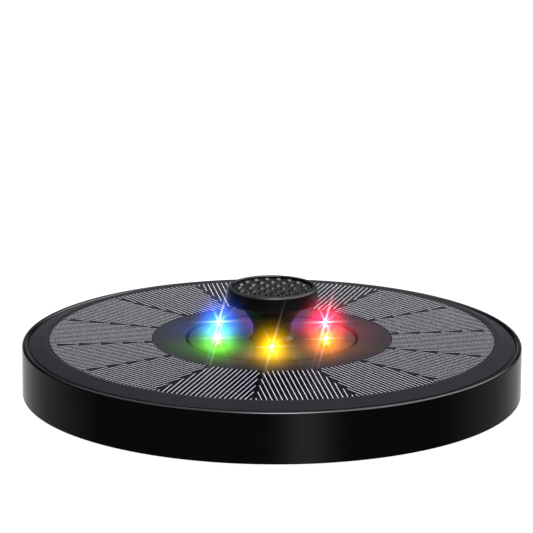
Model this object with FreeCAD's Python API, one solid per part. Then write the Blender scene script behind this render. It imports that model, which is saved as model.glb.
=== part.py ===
"""Floating solar fountain pump: a flat round float with a solar top, a ring of lights, a twist-on spray head
and a brushless pump under a slotted strainer. One STEP file is written for each separate piece.

Units are millimetres. +Z is up, along the spray. The origin is the centre of the face the pump stands on,
which is the underside of the strainer. -Y is the front.
"""

import FreeCAD
import Part
import math
import os

Vector = FreeCAD.Vector
UP = Vector(0, 0, 1)

# ---------------------------------------------------------------- driving sizes

DISC_R = 90.0  # outside of the float's wall
WALL_HEIGHT = 18.5  # underside of the float to the crown of its wall
DATUM_HEIGHT = 19.4  # underside of the float to the plane that the deck and nozzle are set out from
FOOT_HEIGHT = 15.0  # how far the strainer reaches below the float
CLEARANCE = 0.1  # between pieces that only have to miss each other
RUNNING = 0.05  # radial clearance of a piece that turns or slides on another

BASE_Z = FOOT_HEIGHT
WALL_TOP_Z = BASE_Z + WALL_HEIGHT
TOP_Z = BASE_Z + DATUM_HEIGHT

# Float shell
FLOOR = 2.0
FLOOR_Z = BASE_Z + FLOOR
WALL_INNER_R = DISC_R - 2.0
CROWN_ROUNDING = 0.75
CORNER_ROUNDING = 0.5
INNER_WALL_R = (84.4, 86.0)

# Solar deck, from the top down
COVER_R = 87.3
BEVEL_R = 82.0  # the cover is flat to here and slopes down outside it
BEVEL_END_Z = WALL_TOP_Z - 0.2
COVER_INNER_R = 31.2
COVER_Z = TOP_Z + 0.85
COVER_THICK = 0.55
COVER_GLUE = 0.05  # film of adhesive between the cover and the board
CELL_THICK = 0.2
POCKET_CLEARANCE = 0.1
BOARD_THICK = 1.0
DECK_THICK = 1.8
BOARD_TOP_Z = COVER_Z - COVER_THICK - COVER_GLUE
DECK_TOP_Z = BOARD_TOP_Z - BOARD_THICK
DECK_Z = DECK_TOP_Z - DECK_THICK
DECK_R = WALL_INNER_R - 0.2
BOARD_R = 82.1
DECK_STEP_R = BOARD_R
DECK_STEP_Z = DECK_TOP_Z - 1.0
GASKET_THICK = 0.7

CELL_COUNT = 14
CELL_R = (43.0, 80.4)
CELL_HALF_GAP = 0.35
CELL_STEP = 360.0 / CELL_COUNT
CELL_FIRST_EDGE = -94.5  # the seam between two cells that is nearest the front

# Light ring
LENS_R = 30.3
LENS_HOLE_R = 5.7
LENS_Z = (TOP_Z - 1.6, TOP_Z + 0.4)
CUP_R = (30.5, 32.6)
CUP_FLOOR_Z = (TOP_Z - 8.1, TOP_Z - 6.9)
LED_BOARD_Z = (TOP_Z - 6.5, TOP_Z - 5.5)
LED_RING_R = 22.3
LED_R = 2.5  # a standard 5 mm round light
LED_TALL = 8.6
LED_FLANGE = (2.9, 1.0)  # radius and thickness
LED_PIN = (0.5, 2.54)  # width of the square pins and the distance between them
LED_PIN_END = LED_BOARD_Z[0] - 0.2
LED_NAMES = {
    "led_yellow": -90.0,
    "led_orange": -30.0,
    "led_red": 30.0,
    "led_violet": 90.0,
    "led_blue": 150.0,
    "led_green": 210.0,
}

# Pump well in the underside of the float
WELL_R = (30.5, 32.3)
WELL_TOP_Z = (BASE_Z + 8.2, BASE_Z + 9.8)
COLLAR_R = (30.5, 32.0)
COLLAR_Z = BASE_Z - 4.0

# Pump
PUMP_R = 29.5
PUMP_Z = (11.0, 22.8)
ROTOR_AT = (13.0, 0.0)
CHAMBER_R = 10.0
CHAMBER_Z = (6.2, 10.2)
VOLUTE_OFFSET = 7.0  # distance of the outlet passage's centre line from the rotor axis
PASSAGE_WIDTH = 5.0
PASSAGE_Z = (7.4, 10.2)
BOSS_R = 13.6
BOSS_Z = 4.4
ROTOR_WELL_R = 5.7
ROTOR_WELL_TOP = 19.6
MOTOR_CAVITY_R = 27.9
MOTOR_CAVITY_Z = 12.6
POTTING_Z = 22.3
PUMP_SCREW_R = 24.5
PUMP_SCREW_ANGLES = (75.0, 180.0, 285.0)
PUMP_CABLE_ANGLE = 196.0
PUMP_CABLE_Z = 20.5
PUMP_CABLE_HOLE_R = 2.4
PILLAR_R = 4.6  # pillar round each pump screw
SHAFT_R = 1.0
STATOR_X = (8.0, 25.6)
STATOR_HALF_WIDTH = 10.2
STATOR_Z = (15.0, 19.5)
STATOR_POLE_GAP = 1.3  # from the wall of the rotor's well to the iron
CROSS_LEG_X = 22.4  # inner side of the leg that carries the coil
WINDOW_HALF_WIDTH = 5.2
BOBBIN_WALL = 0.5
BOBBIN_HALF_WIDTH = 5.1
CHEEK_THICK = 0.6
CHEEK_REACH = 1.7  # cheek beyond the iron, above and below
COIL_DEPTH = 1.0  # winding beyond the bobbin's sleeve
COIL_HALF_WIDTH = 4.4
COIL_ROUNDING = 1.0
DRIVER_BOARD_R = 26.5
DRIVER_BOARD_X = -9.0
DRIVER_BOARD_Z = (15.0, 16.0)
IMPELLER_R = 8.5
BLADE_COUNT = 6
MAGNET_R = 5.2
MAGNET_Z = (10.6, 19.0)
INTAKE_COVER_R = 11.9
INTAKE_COVER_Z = (5.0, CHAMBER_Z[0])
LEDGE_R = 10.8
LEDGE_ANGLES = (60.0, 180.0, 300.0)
LEDGE_SPAN = 30.0
NOTCH_SPAN = 34.0
INTAKE_TWIST = 36.0  # turn that brings the cover's notches over the ledges

# Riser and spray nozzle
RISER_R = 5.0
RISER_BORE_R = 3.2
STEM_Z = LENS_Z[1] + 0.15
SPIGOT_R = 4.5
SPIGOT_TOP_Z = TOP_Z + 9.0
STEM_FOOT_R = 7.9
COLLAR_WIDE_R = 8.35
COLLAR_WIDE_Z = (STEM_Z + 0.1, STEM_Z + 0.3)
NECK_R = 6.85
NECK_Z = (TOP_Z + 2.1, TOP_Z + 5.9)
CONE_TOP_R = 11.8
HEAD_R = 16.45
HEAD_Z = (TOP_Z + 13.8, TOP_Z + 19.8)
HEAD_SOCKET_R = 9.0
PLATE_R = 14.4
PLATE_Z = (HEAD_Z[1] - 2.6, HEAD_Z[1] - 1.0)
# Radius, number of jets and lean in degrees
JET_RINGS = ((0.0, 1, 0.0), (4.0, 6, 5.0), (8.1, 12, 11.0), (12.1, 18, 18.0))
JET_R = 0.6
NIPPLE_R = (1.3, 0.95)
NIPPLE_HEIGHT = 0.7

# Strainer and sponge
STRAINER_R = (COLLAR_R[1] + CLEARANCE, 33.8)
STRAINER_FLOOR = 1.8
STRAINER_TOP = BASE_Z - 0.2
SIDE_SLOTS = 36
SIDE_SLOT = (2.2, 3.4, 11.2)  # width, low, high
FLOOR_SLOTS = 24
FLOOR_SLOT = (1.8, 13.0, 28.0)  # width, inner and outer radius

# Fasteners and sockets in the float. A screw is (head radius, shank radius, head height).
DECK_SCREW = (2.9, 1.1, 1.8)
BOARD_SCREW = (1.9, 0.8, 1.2)
CLAMP_SCREW = (2.0, 0.9, 1.3)
PUMP_SCREW = (2.6, 0.95, 1.4)
LED_SCREW = (1.7, 0.7, 1.0)
DECK_SCREW_R = 79.0
DECK_SCREW_ANGLES = (30.0, 90.0, 150.0, 210.0, 270.0, 330.0)
DECK_COLUMN_TOP = BASE_Z + 9.0
DECK_COLUMN = (4.2, 1.5)  # a column or post is (outer radius, hole radius)
DECK_HEAD_HOLE_R = 3.1
DECK_BOSS = (3.4, 1.15)
BOARD_POST = (2.7, 0.85)
CLAMP_POST = (3.0, 0.95)
PUMP_POST = (3.0, 1.0)
PUMP_POST_Z = 17.2
LED_POST = (2.4, 0.75)
SOCKET_RING_R = 72.0
SOCKET_ANGLES = (45.0, 135.0, 225.0, 315.0)
SOCKET_R = 2.1
SOCKET_DEPTH = 8.0
SOCKET_POST_R = 4.6
SOCKET_LIP = (5.2, 0.6)  # radius, and how far it stands out of the underside

# Electronics in the float
BATTERY_AT = (58.0, 0.0)
BATTERY_SIZE = (34.0, 50.0, 9.5)
PAD_THICK = 0.8
BATTERY_Z = FLOOR_Z + PAD_THICK
BATTERY_ROUNDING = 2.2
FENCE_GAP = 0.4
FENCE_WALL = 1.2
FENCE_HEIGHT = 3.0
CLAMP_WIDTH = 10.0
CLAMP_THICK = 0.7
CLAMP_FOOT_Z = BASE_Z + 8.3
CLAMP_SCREW_Y = 29.6
MAIN_BOARD_AT = (-60.0, 0.0)
MAIN_BOARD_SIZE = (30.0, 46.0)
MAIN_BOARD_Z = (BASE_Z + 6.0, BASE_Z + 7.6)
STANDOFF_INSET = 3.0
CONNECTOR_X = -48.5
CONNECTOR_Y = {"pump": -14.0, "panel": -5.0, "led": 4.0, "battery": 13.0}
CONNECTOR_SIZE = (4.0, 6.0, 3.5)
BUTTON_AT = (-62.0, 0.0)
BUTTON_R = 5.0
BUTTON_STANDS_OUT = 0.8
BUTTON_TRAVEL = 0.6
BUTTON_FLANGE = (6.2, 0.8)
BUTTON_GUIDE_R = (6.5, 8.0)
BUTTON_GUIDE_HEIGHT = 1.2
BUTTON_DISH = (9.0, 0.3)  # shallow dish that lets a fingertip reach the button
BUTTON_SEAL = (5.45, 0.42)  # ring radius and cord radius
BUTTON_SEAL_Z = BASE_Z + 1.0
BUTTON_MARK_R = (2.6, 2.0)
BUTTON_MARK_DEPTH = 0.3
SWITCH_SIZE = 6.0
SWITCH_Z = BASE_Z + 3.8
PLUNGER_R = 1.7
WIRE_R = 0.6
WIRE_PITCH = 1.7
WIRE_HOLE_R = WIRE_R + 0.15
PANEL_WIRE_X = -43.5


# ---------------------------------------------------------------- helpers


def polar(radius, degrees, at=(0.0, 0.0)):
    """The (x, y) point at a radius and angle about a point."""
    turn = math.radians(degrees)
    return at[0] + radius * math.cos(turn), at[1] + radius * math.sin(turn)


def cylinder(radius, low, high, at=(0.0, 0.0)):
    return Part.makeCylinder(radius, high - low, Vector(at[0], at[1], low))


def ring(outer, inner, low, high, at=(0.0, 0.0)):
    return cylinder(outer, low, high, at).cut(cylinder(inner, low - 1, high + 1, at))


def block(x, y, z):
    """A box from (low, high) pairs."""
    return Part.makeBox(x[1] - x[0], y[1] - y[0], z[1] - z[0], Vector(x[0], y[0], z[0]))


def slab(size, z, at=(0.0, 0.0)):
    """A box of size (x, y) centred on a point."""
    half_x, half_y = size[0] / 2, size[1] / 2
    return block((at[0] - half_x, at[0] + half_x), (at[1] - half_y, at[1] + half_y), z)


def turned(profile, at=(0.0, 0.0)):
    """The solid of revolution of a closed outline of (radius, z) points."""
    points = [Vector(r, 0, z) for r, z in profile]
    face = Part.Face(Part.makePolygon(points + points[:1]))
    solid = face.revolve(Vector(), UP, 360)
    solid.translate(Vector(at[0], at[1], 0))
    return solid


def sector(outer, inner, low, high, middle, span, at=(0.0, 0.0)):
    """Part of a ring: span degrees about the middle angle."""
    disc = Part.makeCylinder(outer, high - low, Vector(0, 0, low), UP, span)
    disc.rotate(Vector(), UP, middle - span / 2)
    disc.translate(Vector(at[0], at[1], 0))
    return disc.cut(cylinder(inner, low - 1, high + 1, at)) if inner > 0 else disc


def spun(shape, degrees, at=(0.0, 0.0)):
    """A copy turned about a vertical axis."""
    copy = shape.copy()
    copy.rotate(Vector(at[0], at[1], 0), UP, degrees)
    return copy


def repeated(shape, count, at=(0.0, 0.0)):
    """Copies spaced evenly round a vertical axis."""
    return [spun(shape, k * 360.0 / count, at) for k in range(count)]


def joined(shapes):
    shapes = list(shapes)
    return shapes[0].multiFuse(shapes[1:]).removeSplitter() if len(shapes) > 1 else shapes[0]


def without(shape, tools):
    return shape.cut(list(tools)).removeSplitter()


def rounded(shape, radius, circles, at=(0.0, 0.0)):
    """Fillets the full circular edges given as (radius, z) about a vertical axis."""
    chosen = []
    for edge in shape.Edges:
        if not isinstance(edge.Curve, Part.Circle):
            continue
        centre = edge.Curve.Center
        for r, z in circles:
            on_axis = math.hypot(centre.x - at[0], centre.y - at[1]) < 1e-4
            if on_axis and abs(centre.z - z) < 1e-4 and abs(edge.Curve.Radius - r) < 1e-4:
                chosen.append(edge)
    return shape.makeFillet(radius, chosen)


def torus(major, minor, z, at=(0.0, 0.0)):
    return Part.makeTorus(major, minor, Vector(at[0], at[1], z))


def screw(kind, at, seat, tip):
    """A pan-head screw with a cross recess. Its head sits on the seat's height, away from the tip."""
    head_r, shank_r, head_height = kind
    upward = tip > seat
    head_z = (seat - head_height, seat) if upward else (seat, seat + head_height)
    head = cylinder(head_r, *head_z, at)
    shank = cylinder(shank_r, min(seat, tip), max(seat, tip), at)
    depth = head_height * 0.5
    recess_z = (head_z[0] - 1, head_z[0] + depth) if upward else (head_z[1] - depth, head_z[1] + 1)
    arm, width = head_r * 1.1, head_r * 0.24
    cross = [slab((arm, width), recess_z, at), slab((width, arm), recess_z, at)]
    return without(joined([head, shank]), cross)


def wires(paths):
    """Round wires along smooth curves, one for each list of points."""
    made = []
    for path in paths:
        points = [Vector(*p) for p in path]
        curve = Part.BSplineCurve()
        curve.interpolate(points)
        spine = Part.Wire(curve.toShape())
        start = curve.tangent(curve.FirstParameter)[0]
        section = Part.Wire(Part.makeCircle(WIRE_R, points[0], start))
        made.append(spine.makePipeShell([section], True, False))
    return Part.Compound(made)


# ---------------------------------------------------------------- float shell


def base_shell():
    """The tub of the float: wall, floor, pump well, columns and sockets."""
    tub = turned(
        [
            (WELL_R[0], BASE_Z),
            (DISC_R, BASE_Z),
            (DISC_R, WALL_TOP_Z),
            (WALL_INNER_R, WALL_TOP_Z),
            (WALL_INNER_R, FLOOR_Z),
            (INNER_WALL_R[1], FLOOR_Z),
            (INNER_WALL_R[1], DECK_Z - GASKET_THICK),
            (INNER_WALL_R[0], DECK_Z - GASKET_THICK),
            (INNER_WALL_R[0], FLOOR_Z),
            (WELL_R[1], FLOOR_Z),
            (WELL_R[1], WELL_TOP_Z[1]),
            (RISER_R + 0.6, WELL_TOP_Z[1]),
            (RISER_R + 0.6, WELL_TOP_Z[0]),
            (WELL_R[0], WELL_TOP_Z[0]),
        ]
    )
    tub = rounded(tub, CORNER_ROUNDING, [(DISC_R, BASE_Z)])
    tub = rounded(tub, CROWN_ROUNDING, [(DISC_R, WALL_TOP_Z), (WALL_INNER_R, WALL_TOP_Z)])

    added = [ring(COLLAR_R[1], COLLAR_R[0], COLLAR_Z, BASE_Z)]
    removed = []
    for angle in DECK_SCREW_ANGLES:
        at = polar(DECK_SCREW_R, angle)
        added.append(cylinder(DECK_COLUMN[0], BASE_Z + 1, DECK_COLUMN_TOP, at))
        removed.append(cylinder(DECK_COLUMN[1], BASE_Z - 1, TOP_Z, at))
        removed.append(cylinder(DECK_HEAD_HOLE_R, BASE_Z - 1, FLOOR_Z + 0.2, at))
    for angle in SOCKET_ANGLES:
        at = polar(SOCKET_RING_R, angle)
        added.append(cylinder(SOCKET_POST_R, BASE_Z + 1, BASE_Z + SOCKET_DEPTH + 2, at))
        added.append(cylinder(SOCKET_LIP[0], BASE_Z - SOCKET_LIP[1], BASE_Z + 1, at))
        removed.append(cylinder(SOCKET_R, BASE_Z - 1, BASE_Z + SOCKET_DEPTH, at))
    for at in main_board_corners():
        added.append(cylinder(BOARD_POST[0], BASE_Z + 1, MAIN_BOARD_Z[0], at))
        removed.append(cylinder(BOARD_POST[1], FLOOR_Z, MAIN_BOARD_Z[0] + 1, at))
    for at in clamp_feet():
        added.append(cylinder(CLAMP_POST[0], BASE_Z + 1, CLAMP_FOOT_Z, at))
        removed.append(cylinder(CLAMP_POST[1], FLOOR_Z, CLAMP_FOOT_Z + 1, at))
    for at in pump_screw_places():
        added.append(cylinder(PUMP_POST[0], PUMP_POST_Z, WELL_TOP_Z[0] + 0.5, at))
        removed.append(cylinder(PUMP_POST[1], PUMP_POST_Z - 0.2, WELL_TOP_Z[0], at))
    added.append(battery_fence())
    added.append(ring(*reversed(BUTTON_GUIDE_R), BASE_Z + 1, FLOOR_Z + BUTTON_GUIDE_HEIGHT, BUTTON_AT))
    removed.append(cylinder(BUTTON_R + CLEARANCE, BASE_Z - 1, FLOOR_Z + 1, BUTTON_AT))
    seal_reach = sum(BUTTON_SEAL) + 0.03
    removed.append(cylinder(seal_reach, BUTTON_SEAL_Z - 0.5, BUTTON_SEAL_Z + 0.5, BUTTON_AT))
    removed.append(cylinder(BUTTON_DISH[0], BASE_Z - 1, BASE_Z + BUTTON_DISH[1], BUTTON_AT))
    removed.append(pump_cable_hole(PUMP_CABLE_HOLE_R, WELL_R[0] - 1, WELL_R[1] + 1))
    return without(joined([tub] + added), removed)


def battery_fence():
    """Low wall on the float's floor that keeps the battery in place."""
    inside = [size + 2 * FENCE_GAP for size in BATTERY_SIZE[:2]]
    outside = [size + 2 * FENCE_WALL for size in inside]
    fence = slab(outside, (BASE_Z + 1, FLOOR_Z + FENCE_HEIGHT), BATTERY_AT)
    return fence.cut(slab(inside, (BASE_Z, FLOOR_Z + FENCE_HEIGHT + 1), BATTERY_AT))


def pump_screw_places():
    return [polar(PUMP_SCREW_R, angle) for angle in PUMP_SCREW_ANGLES]


def pump_cable_hole(radius, start, end):
    """A round hole for the pump's cable, along its radial line."""
    x, y = polar(start, PUMP_CABLE_ANGLE)
    way = Vector(*polar(1, PUMP_CABLE_ANGLE), 0)
    return Part.makeCylinder(radius, end - start, Vector(x, y, PUMP_CABLE_Z), way)


def main_board_corners():
    half_x = MAIN_BOARD_SIZE[0] / 2 - STANDOFF_INSET
    half_y = MAIN_BOARD_SIZE[1] / 2 - STANDOFF_INSET
    x, y = MAIN_BOARD_AT
    return [(x + i * half_x, y + j * half_y) for i in (-1, 1) for j in (-1, 1)]


def clamp_feet():
    return [(BATTERY_AT[0], CLAMP_SCREW_Y), (BATTERY_AT[0], -CLAMP_SCREW_Y)]


def rim_gasket():
    low = DECK_Z - GASKET_THICK
    return ring(INNER_WALL_R[1] - 0.2, INNER_WALL_R[0] + 0.2, low, DECK_Z)


def deck_screws():
    places = [polar(DECK_SCREW_R, angle) for angle in DECK_SCREW_ANGLES]
    return Part.Compound([screw(DECK_SCREW, at, FLOOR_Z + 0.2, DECK_Z - 1.2) for at in places])


# ---------------------------------------------------------------- solar deck


def panel_carrier():
    """The deck that closes the float. Its middle is a cup for the light ring."""
    deck = turned(
        [
            (RISER_R + 0.6, CUP_FLOOR_Z[0]),
            (CUP_R[1], CUP_FLOOR_Z[0]),
            (CUP_R[1], DECK_Z),
            (DECK_R, DECK_Z),
            (DECK_R, DECK_STEP_Z),
            (DECK_STEP_R, DECK_STEP_Z),
            (DECK_STEP_R, DECK_TOP_Z),
            (CUP_R[0], DECK_TOP_Z),
            (CUP_R[0], LENS_Z[0] - 0.4),
            (CUP_R[0] - 2.0, LENS_Z[0] - 0.4),
            (CUP_R[0] - 2.0, CUP_FLOOR_Z[1]),
            (RISER_R + 0.6, CUP_FLOOR_Z[1]),
        ]
    )
    rib = block((CUP_R[1] + 3, INNER_WALL_R[0] - 2), (-0.7, 0.7), (DECK_Z - 1.5, DECK_Z + 0.5))
    added = [spun(rib, CELL_FIRST_EDGE + k * CELL_STEP) for k in range(CELL_COUNT)]
    removed = [ring(41.5, 35.5, DECK_TOP_Z - 0.5, DECK_TOP_Z + 1)]
    for angle in DECK_SCREW_ANGLES:
        at = polar(DECK_SCREW_R, angle)
        added.append(cylinder(DECK_BOSS[0], DECK_COLUMN_TOP + CLEARANCE, DECK_Z + 0.5, at))
        removed.append(cylinder(DECK_BOSS[1], DECK_COLUMN_TOP, DECK_Z - 0.6, at))
    for at in led_board_holes():
        added.append(cylinder(LED_POST[0], CUP_FLOOR_Z[1] - 0.2, LED_BOARD_Z[0], at))
        removed.append(cylinder(LED_POST[1], CUP_FLOOR_Z[0] + 0.5, LED_BOARD_Z[0] + 1, at))
    removed.append(block((-34, -27), (1.5, 6.5), (LED_BOARD_Z[1], LED_BOARD_Z[1] + 1.6)))
    wire_slot_at = (PANEL_WIRE_X, CONNECTOR_Y["panel"])
    removed.append(slab((2.4, 4.6), (DECK_Z - 2, DECK_TOP_Z + 1), wire_slot_at))
    return without(joined([deck] + added), removed)


def solar_backboard():
    board = ring(BOARD_R, COVER_INNER_R, DECK_TOP_Z, BOARD_TOP_Z)
    pads = []
    for side in (-1, 1):
        at = (PANEL_WIRE_X, CONNECTOR_Y["panel"] + side * WIRE_PITCH / 2)
        pads.append(cylinder(WIRE_HOLE_R, DECK_TOP_Z - 1, BOARD_TOP_Z - 0.3, at))
    return without(board, pads)


def solar_cell():
    """One cell with its bisector along +X: a ring sector whose sides keep an even gap to the next."""
    half = math.radians(CELL_STEP / 2)
    cell = sector(CELL_R[1], CELL_R[0], BOARD_TOP_Z, BOARD_TOP_Z + CELL_THICK, 0, CELL_STEP)
    for side in (-1, 1):
        strip = block((0, CELL_R[1] + 5), (-CELL_HALF_GAP, CELL_HALF_GAP), (BOARD_TOP_Z - 1, COVER_Z))
        cell = cell.cut(spun(strip, side * math.degrees(half)))
    return cell


def solar_cells():
    cell = spun(solar_cell(), CELL_FIRST_EDGE + CELL_STEP / 2)
    return Part.Compound(repeated(cell, CELL_COUNT))


def cell_links():
    """Tinned ribbons under the board that join neighbouring cells in series."""
    made = []
    for k in range(CELL_COUNT - 1):
        middle = CELL_FIRST_EDGE + (k + 1) * CELL_STEP
        made.append(sector(40.6, 38.2, DECK_TOP_Z - 0.2, DECK_TOP_Z, middle, CELL_STEP * 0.7))
    return Part.Compound(made)


def panel_cover():
    """Clear sheet over the cells. Its border slopes down past the board's edge to the float's wall, and one
    shallow round pocket clears the cells and their fingers."""
    low = BOARD_TOP_Z + COVER_GLUE
    border_z = DECK_STEP_Z + COVER_GLUE
    sheet = turned(
        [
            (COVER_INNER_R, low),
            (BOARD_R + 0.2, low),
            (BOARD_R + 0.2, border_z),
            (COVER_R, border_z),
            (COVER_R, BEVEL_END_Z),
            (BEVEL_R, COVER_Z),
            (COVER_INNER_R, COVER_Z),
        ]
    )
    sheet = rounded(sheet, 0.25, [(COVER_R, BEVEL_END_Z), (COVER_INNER_R, COVER_Z)])
    pocket_top = BOARD_TOP_Z + CELL_THICK + POCKET_CLEARANCE
    return sheet.cut(ring(CELL_R[1] + 0.3, CELL_R[0] - 0.3, low - 0.5, pocket_top))


# ---------------------------------------------------------------- light ring


def led_board_holes():
    return [polar(26.0, angle) for angle in (60.0, 180.0, 300.0)]


def led_lens():
    """Frosted ring over the light ring's board, with a close hole for the top of each light."""
    lens = ring(LENS_R, LENS_HOLE_R, LENS_Z[0], LENS_Z[1])
    lens = rounded(lens, 0.5, [(LENS_R, LENS_Z[1])])
    places = [polar(LED_RING_R, angle) for angle in LED_NAMES.values()]
    return without(lens, [cylinder(LED_R + CLEARANCE, LENS_Z[0] - 1, LENS_Z[1] + 1, at) for at in places])


def lens_gasket():
    return ring(CUP_R[0] - 0.1, CUP_R[0] - 1.9, LENS_Z[0] - 0.4, LENS_Z[0])


def led_board():
    board = ring(28.2, RISER_R + 2.0, LED_BOARD_Z[0], LED_BOARD_Z[1])
    below, above = LED_BOARD_Z[0] - 1, LED_BOARD_Z[1] + 1
    holes = [cylinder(0.9, below, above, at) for at in led_board_holes()]
    for angle in LED_NAMES.values():
        holes += [spun(cylinder(0.45, below, above, at), angle) for at in led_pin_places()]
    return without(board, holes)


def led_pin_places():
    """The two pins of a light that stands on +X, side by side across the radius."""
    return [(LED_RING_R, side * LED_PIN[1] / 2) for side in (-1, 1)]


def led(angle):
    """A round light with a flange, a domed top and two pins. A flat on the flange marks its negative side."""
    low = LED_BOARD_Z[1]
    at = (LED_RING_R, 0)
    dome_z = low + LED_TALL - LED_R
    flange_r, flange_thick = LED_FLANGE
    flange = cylinder(flange_r, low, low + flange_thick, at)
    flange = flange.cut(slab((10, 2), (low - 1, low + flange_thick + 1), (at[0], LED_R + 1)))
    dome = Part.makeSphere(LED_R, Vector(at[0], at[1], dome_z))
    pins = [slab((LED_PIN[0], LED_PIN[0]), (LED_PIN_END, low + 0.5), pin_at) for pin_at in led_pin_places()]
    return spun(joined([flange, cylinder(LED_R, low, dome_z, at), dome] + pins), angle)


def led_board_screws():
    tip = CUP_FLOOR_Z[0] + 0.6
    return Part.Compound([screw(LED_SCREW, at, LED_BOARD_Z[1], tip) for at in led_board_holes()])


# ---------------------------------------------------------------- electronics in the float


def main_board():
    board = slab(MAIN_BOARD_SIZE, MAIN_BOARD_Z, MAIN_BOARD_AT)
    return without(board, [cylinder(1.1, BASE_Z, TOP_Z, at) for at in main_board_corners()])


def board_chips():
    """Controller, charger and driver packages, with the shunt resistors beside them."""
    x, y = MAIN_BOARD_AT
    low = MAIN_BOARD_Z[1]
    packages = [
        slab((6.0, 6.0), (low, low + 1.2), (x - 1, y + 8)),
        slab((4.0, 5.0), (low, low + 1.4), (x - 2, y - 3)),
        slab((4.0, 5.0), (low, low + 1.4), (x - 2, y - 12)),
    ]
    packages += [slab((1.6, 0.9), (low, low + 0.6), (x + 4.5, y - 16 + 3 * k)) for k in range(5)]
    return Part.Compound(packages)


def board_inductor():
    at = (MAIN_BOARD_AT[0] - 9.0, MAIN_BOARD_AT[1] + 4.0)
    low = MAIN_BOARD_Z[1]
    coil = rounded(cylinder(3.4, low, low + 3.6, at), 0.6, [(3.4, low + 3.6)], at)
    return coil


def board_capacitor():
    at = (MAIN_BOARD_AT[0] - 9.0, MAIN_BOARD_AT[1] - 9.0)
    low = MAIN_BOARD_Z[1]
    can = rounded(cylinder(3.0, low, low + 5.0, at), 0.5, [(3.0, low + 5.0)], at)
    return can


def board_connectors():
    low = MAIN_BOARD_Z[1]
    made = []
    for y in CONNECTOR_Y.values():
        plug = slab(CONNECTOR_SIZE[:2], (low, low + CONNECTOR_SIZE[2]), (CONNECTOR_X, y))
        made.append(without(plug, [wire_mouth(y + s * WIRE_PITCH / 2) for s in (-1, 1)]))
    return Part.Compound(made)


def wire_mouth(y):
    """The hole in a connector's inner side that a wire ends in."""
    start = Vector(CONNECTOR_X + CONNECTOR_SIZE[0] / 2 - 1.5, y, wire_z())
    return Part.makeCylinder(WIRE_HOLE_R, 3, start, Vector(1, 0, 0))


def wire_z():
    return MAIN_BOARD_Z[1] + CONNECTOR_SIZE[2] / 2


def board_screws():
    tip = FLOOR_Z + 0.5
    return Part.Compound([screw(BOARD_SCREW, at, MAIN_BOARD_Z[1], tip) for at in main_board_corners()])


def mode_switch():
    body = slab((SWITCH_SIZE, SWITCH_SIZE), (SWITCH_Z, MAIN_BOARD_Z[0]), BUTTON_AT)
    bore = cylinder(PLUNGER_R + RUNNING, SWITCH_Z - 1, MAIN_BOARD_Z[0] - 0.1, BUTTON_AT)
    return without(body, [bore])


def switch_plunger():
    low = FLOOR_Z + BUTTON_FLANGE[1]
    return cylinder(PLUNGER_R, low, MAIN_BOARD_Z[0] - 0.1 - BUTTON_TRAVEL - 0.1, BUTTON_AT)


def mode_button():
    low = BASE_Z - BUTTON_STANDS_OUT
    flange_r, flange_thick = BUTTON_FLANGE
    cap = cylinder(BUTTON_R, low, FLOOR_Z, BUTTON_AT)
    cap = rounded(cap, 0.6, [(BUTTON_R, low)], BUTTON_AT)
    flange = cylinder(flange_r, FLOOR_Z, FLOOR_Z + flange_thick, BUTTON_AT)
    # A ring pressed into the face marks it as the on and off button.
    mark = ring(*BUTTON_MARK_R, low - 1, low + BUTTON_MARK_DEPTH, BUTTON_AT)
    return without(joined([cap, flange]), [mark])


def button_oring():
    return torus(*BUTTON_SEAL, BUTTON_SEAL_Z, BUTTON_AT)


def battery_pack():
    x, y, height = BATTERY_SIZE
    pouch = slab((x, y), (BATTERY_Z, BATTERY_Z + height), BATTERY_AT)
    long_edges = [e for e in pouch.Edges if abs(e.tangentAt(e.FirstParameter).y) > 0.99]
    return pouch.makeFillet(BATTERY_ROUNDING, long_edges)


def battery_pads():
    x, y = BATTERY_AT
    return Part.Compound([slab((22.0, 10.0), (FLOOR_Z, BATTERY_Z), (x, y + s * 15)) for s in (-1, 1)])


def battery_clamp():
    """Sheet-metal strap over the battery, stepped down to a foot on each side."""
    top = BATTERY_Z + BATTERY_SIZE[2]
    half = BATTERY_SIZE[1] / 2 + 0.3
    reach = CLAMP_SCREW_Y + 3.0
    width = (BATTERY_AT[0] - CLAMP_WIDTH / 2, BATTERY_AT[0] + CLAMP_WIDTH / 2)
    strap = [block(width, (-half - CLAMP_THICK, half + CLAMP_THICK), (top, top + CLAMP_THICK))]
    for side in (-1, 1):
        leg = sorted((side * half, side * (half + CLAMP_THICK)))
        foot = sorted((side * half, side * reach))
        strap.append(block(width, leg, (CLAMP_FOOT_Z, top + CLAMP_THICK)))
        strap.append(block(width, foot, (CLAMP_FOOT_Z, CLAMP_FOOT_Z + CLAMP_THICK)))
    holes = [cylinder(1.15, BASE_Z, TOP_Z, at) for at in clamp_feet()]
    return without(joined(strap), holes)


def clamp_screws():
    seat = CLAMP_FOOT_Z + CLAMP_THICK
    return Part.Compound([screw(CLAMP_SCREW, at, seat, FLOOR_Z + 0.5) for at in clamp_feet()])


def connector_lead(name, side):
    """Points on the straight last stretch of a wire, ending in its connector."""
    face_x = CONNECTOR_X + CONNECTOR_SIZE[0] / 2
    y = CONNECTOR_Y[name] + side * WIRE_PITCH / 2
    return [(face_x + out, y, wire_z()) for out in (2.4, 1.0, -0.2, -1.3)]


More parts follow.
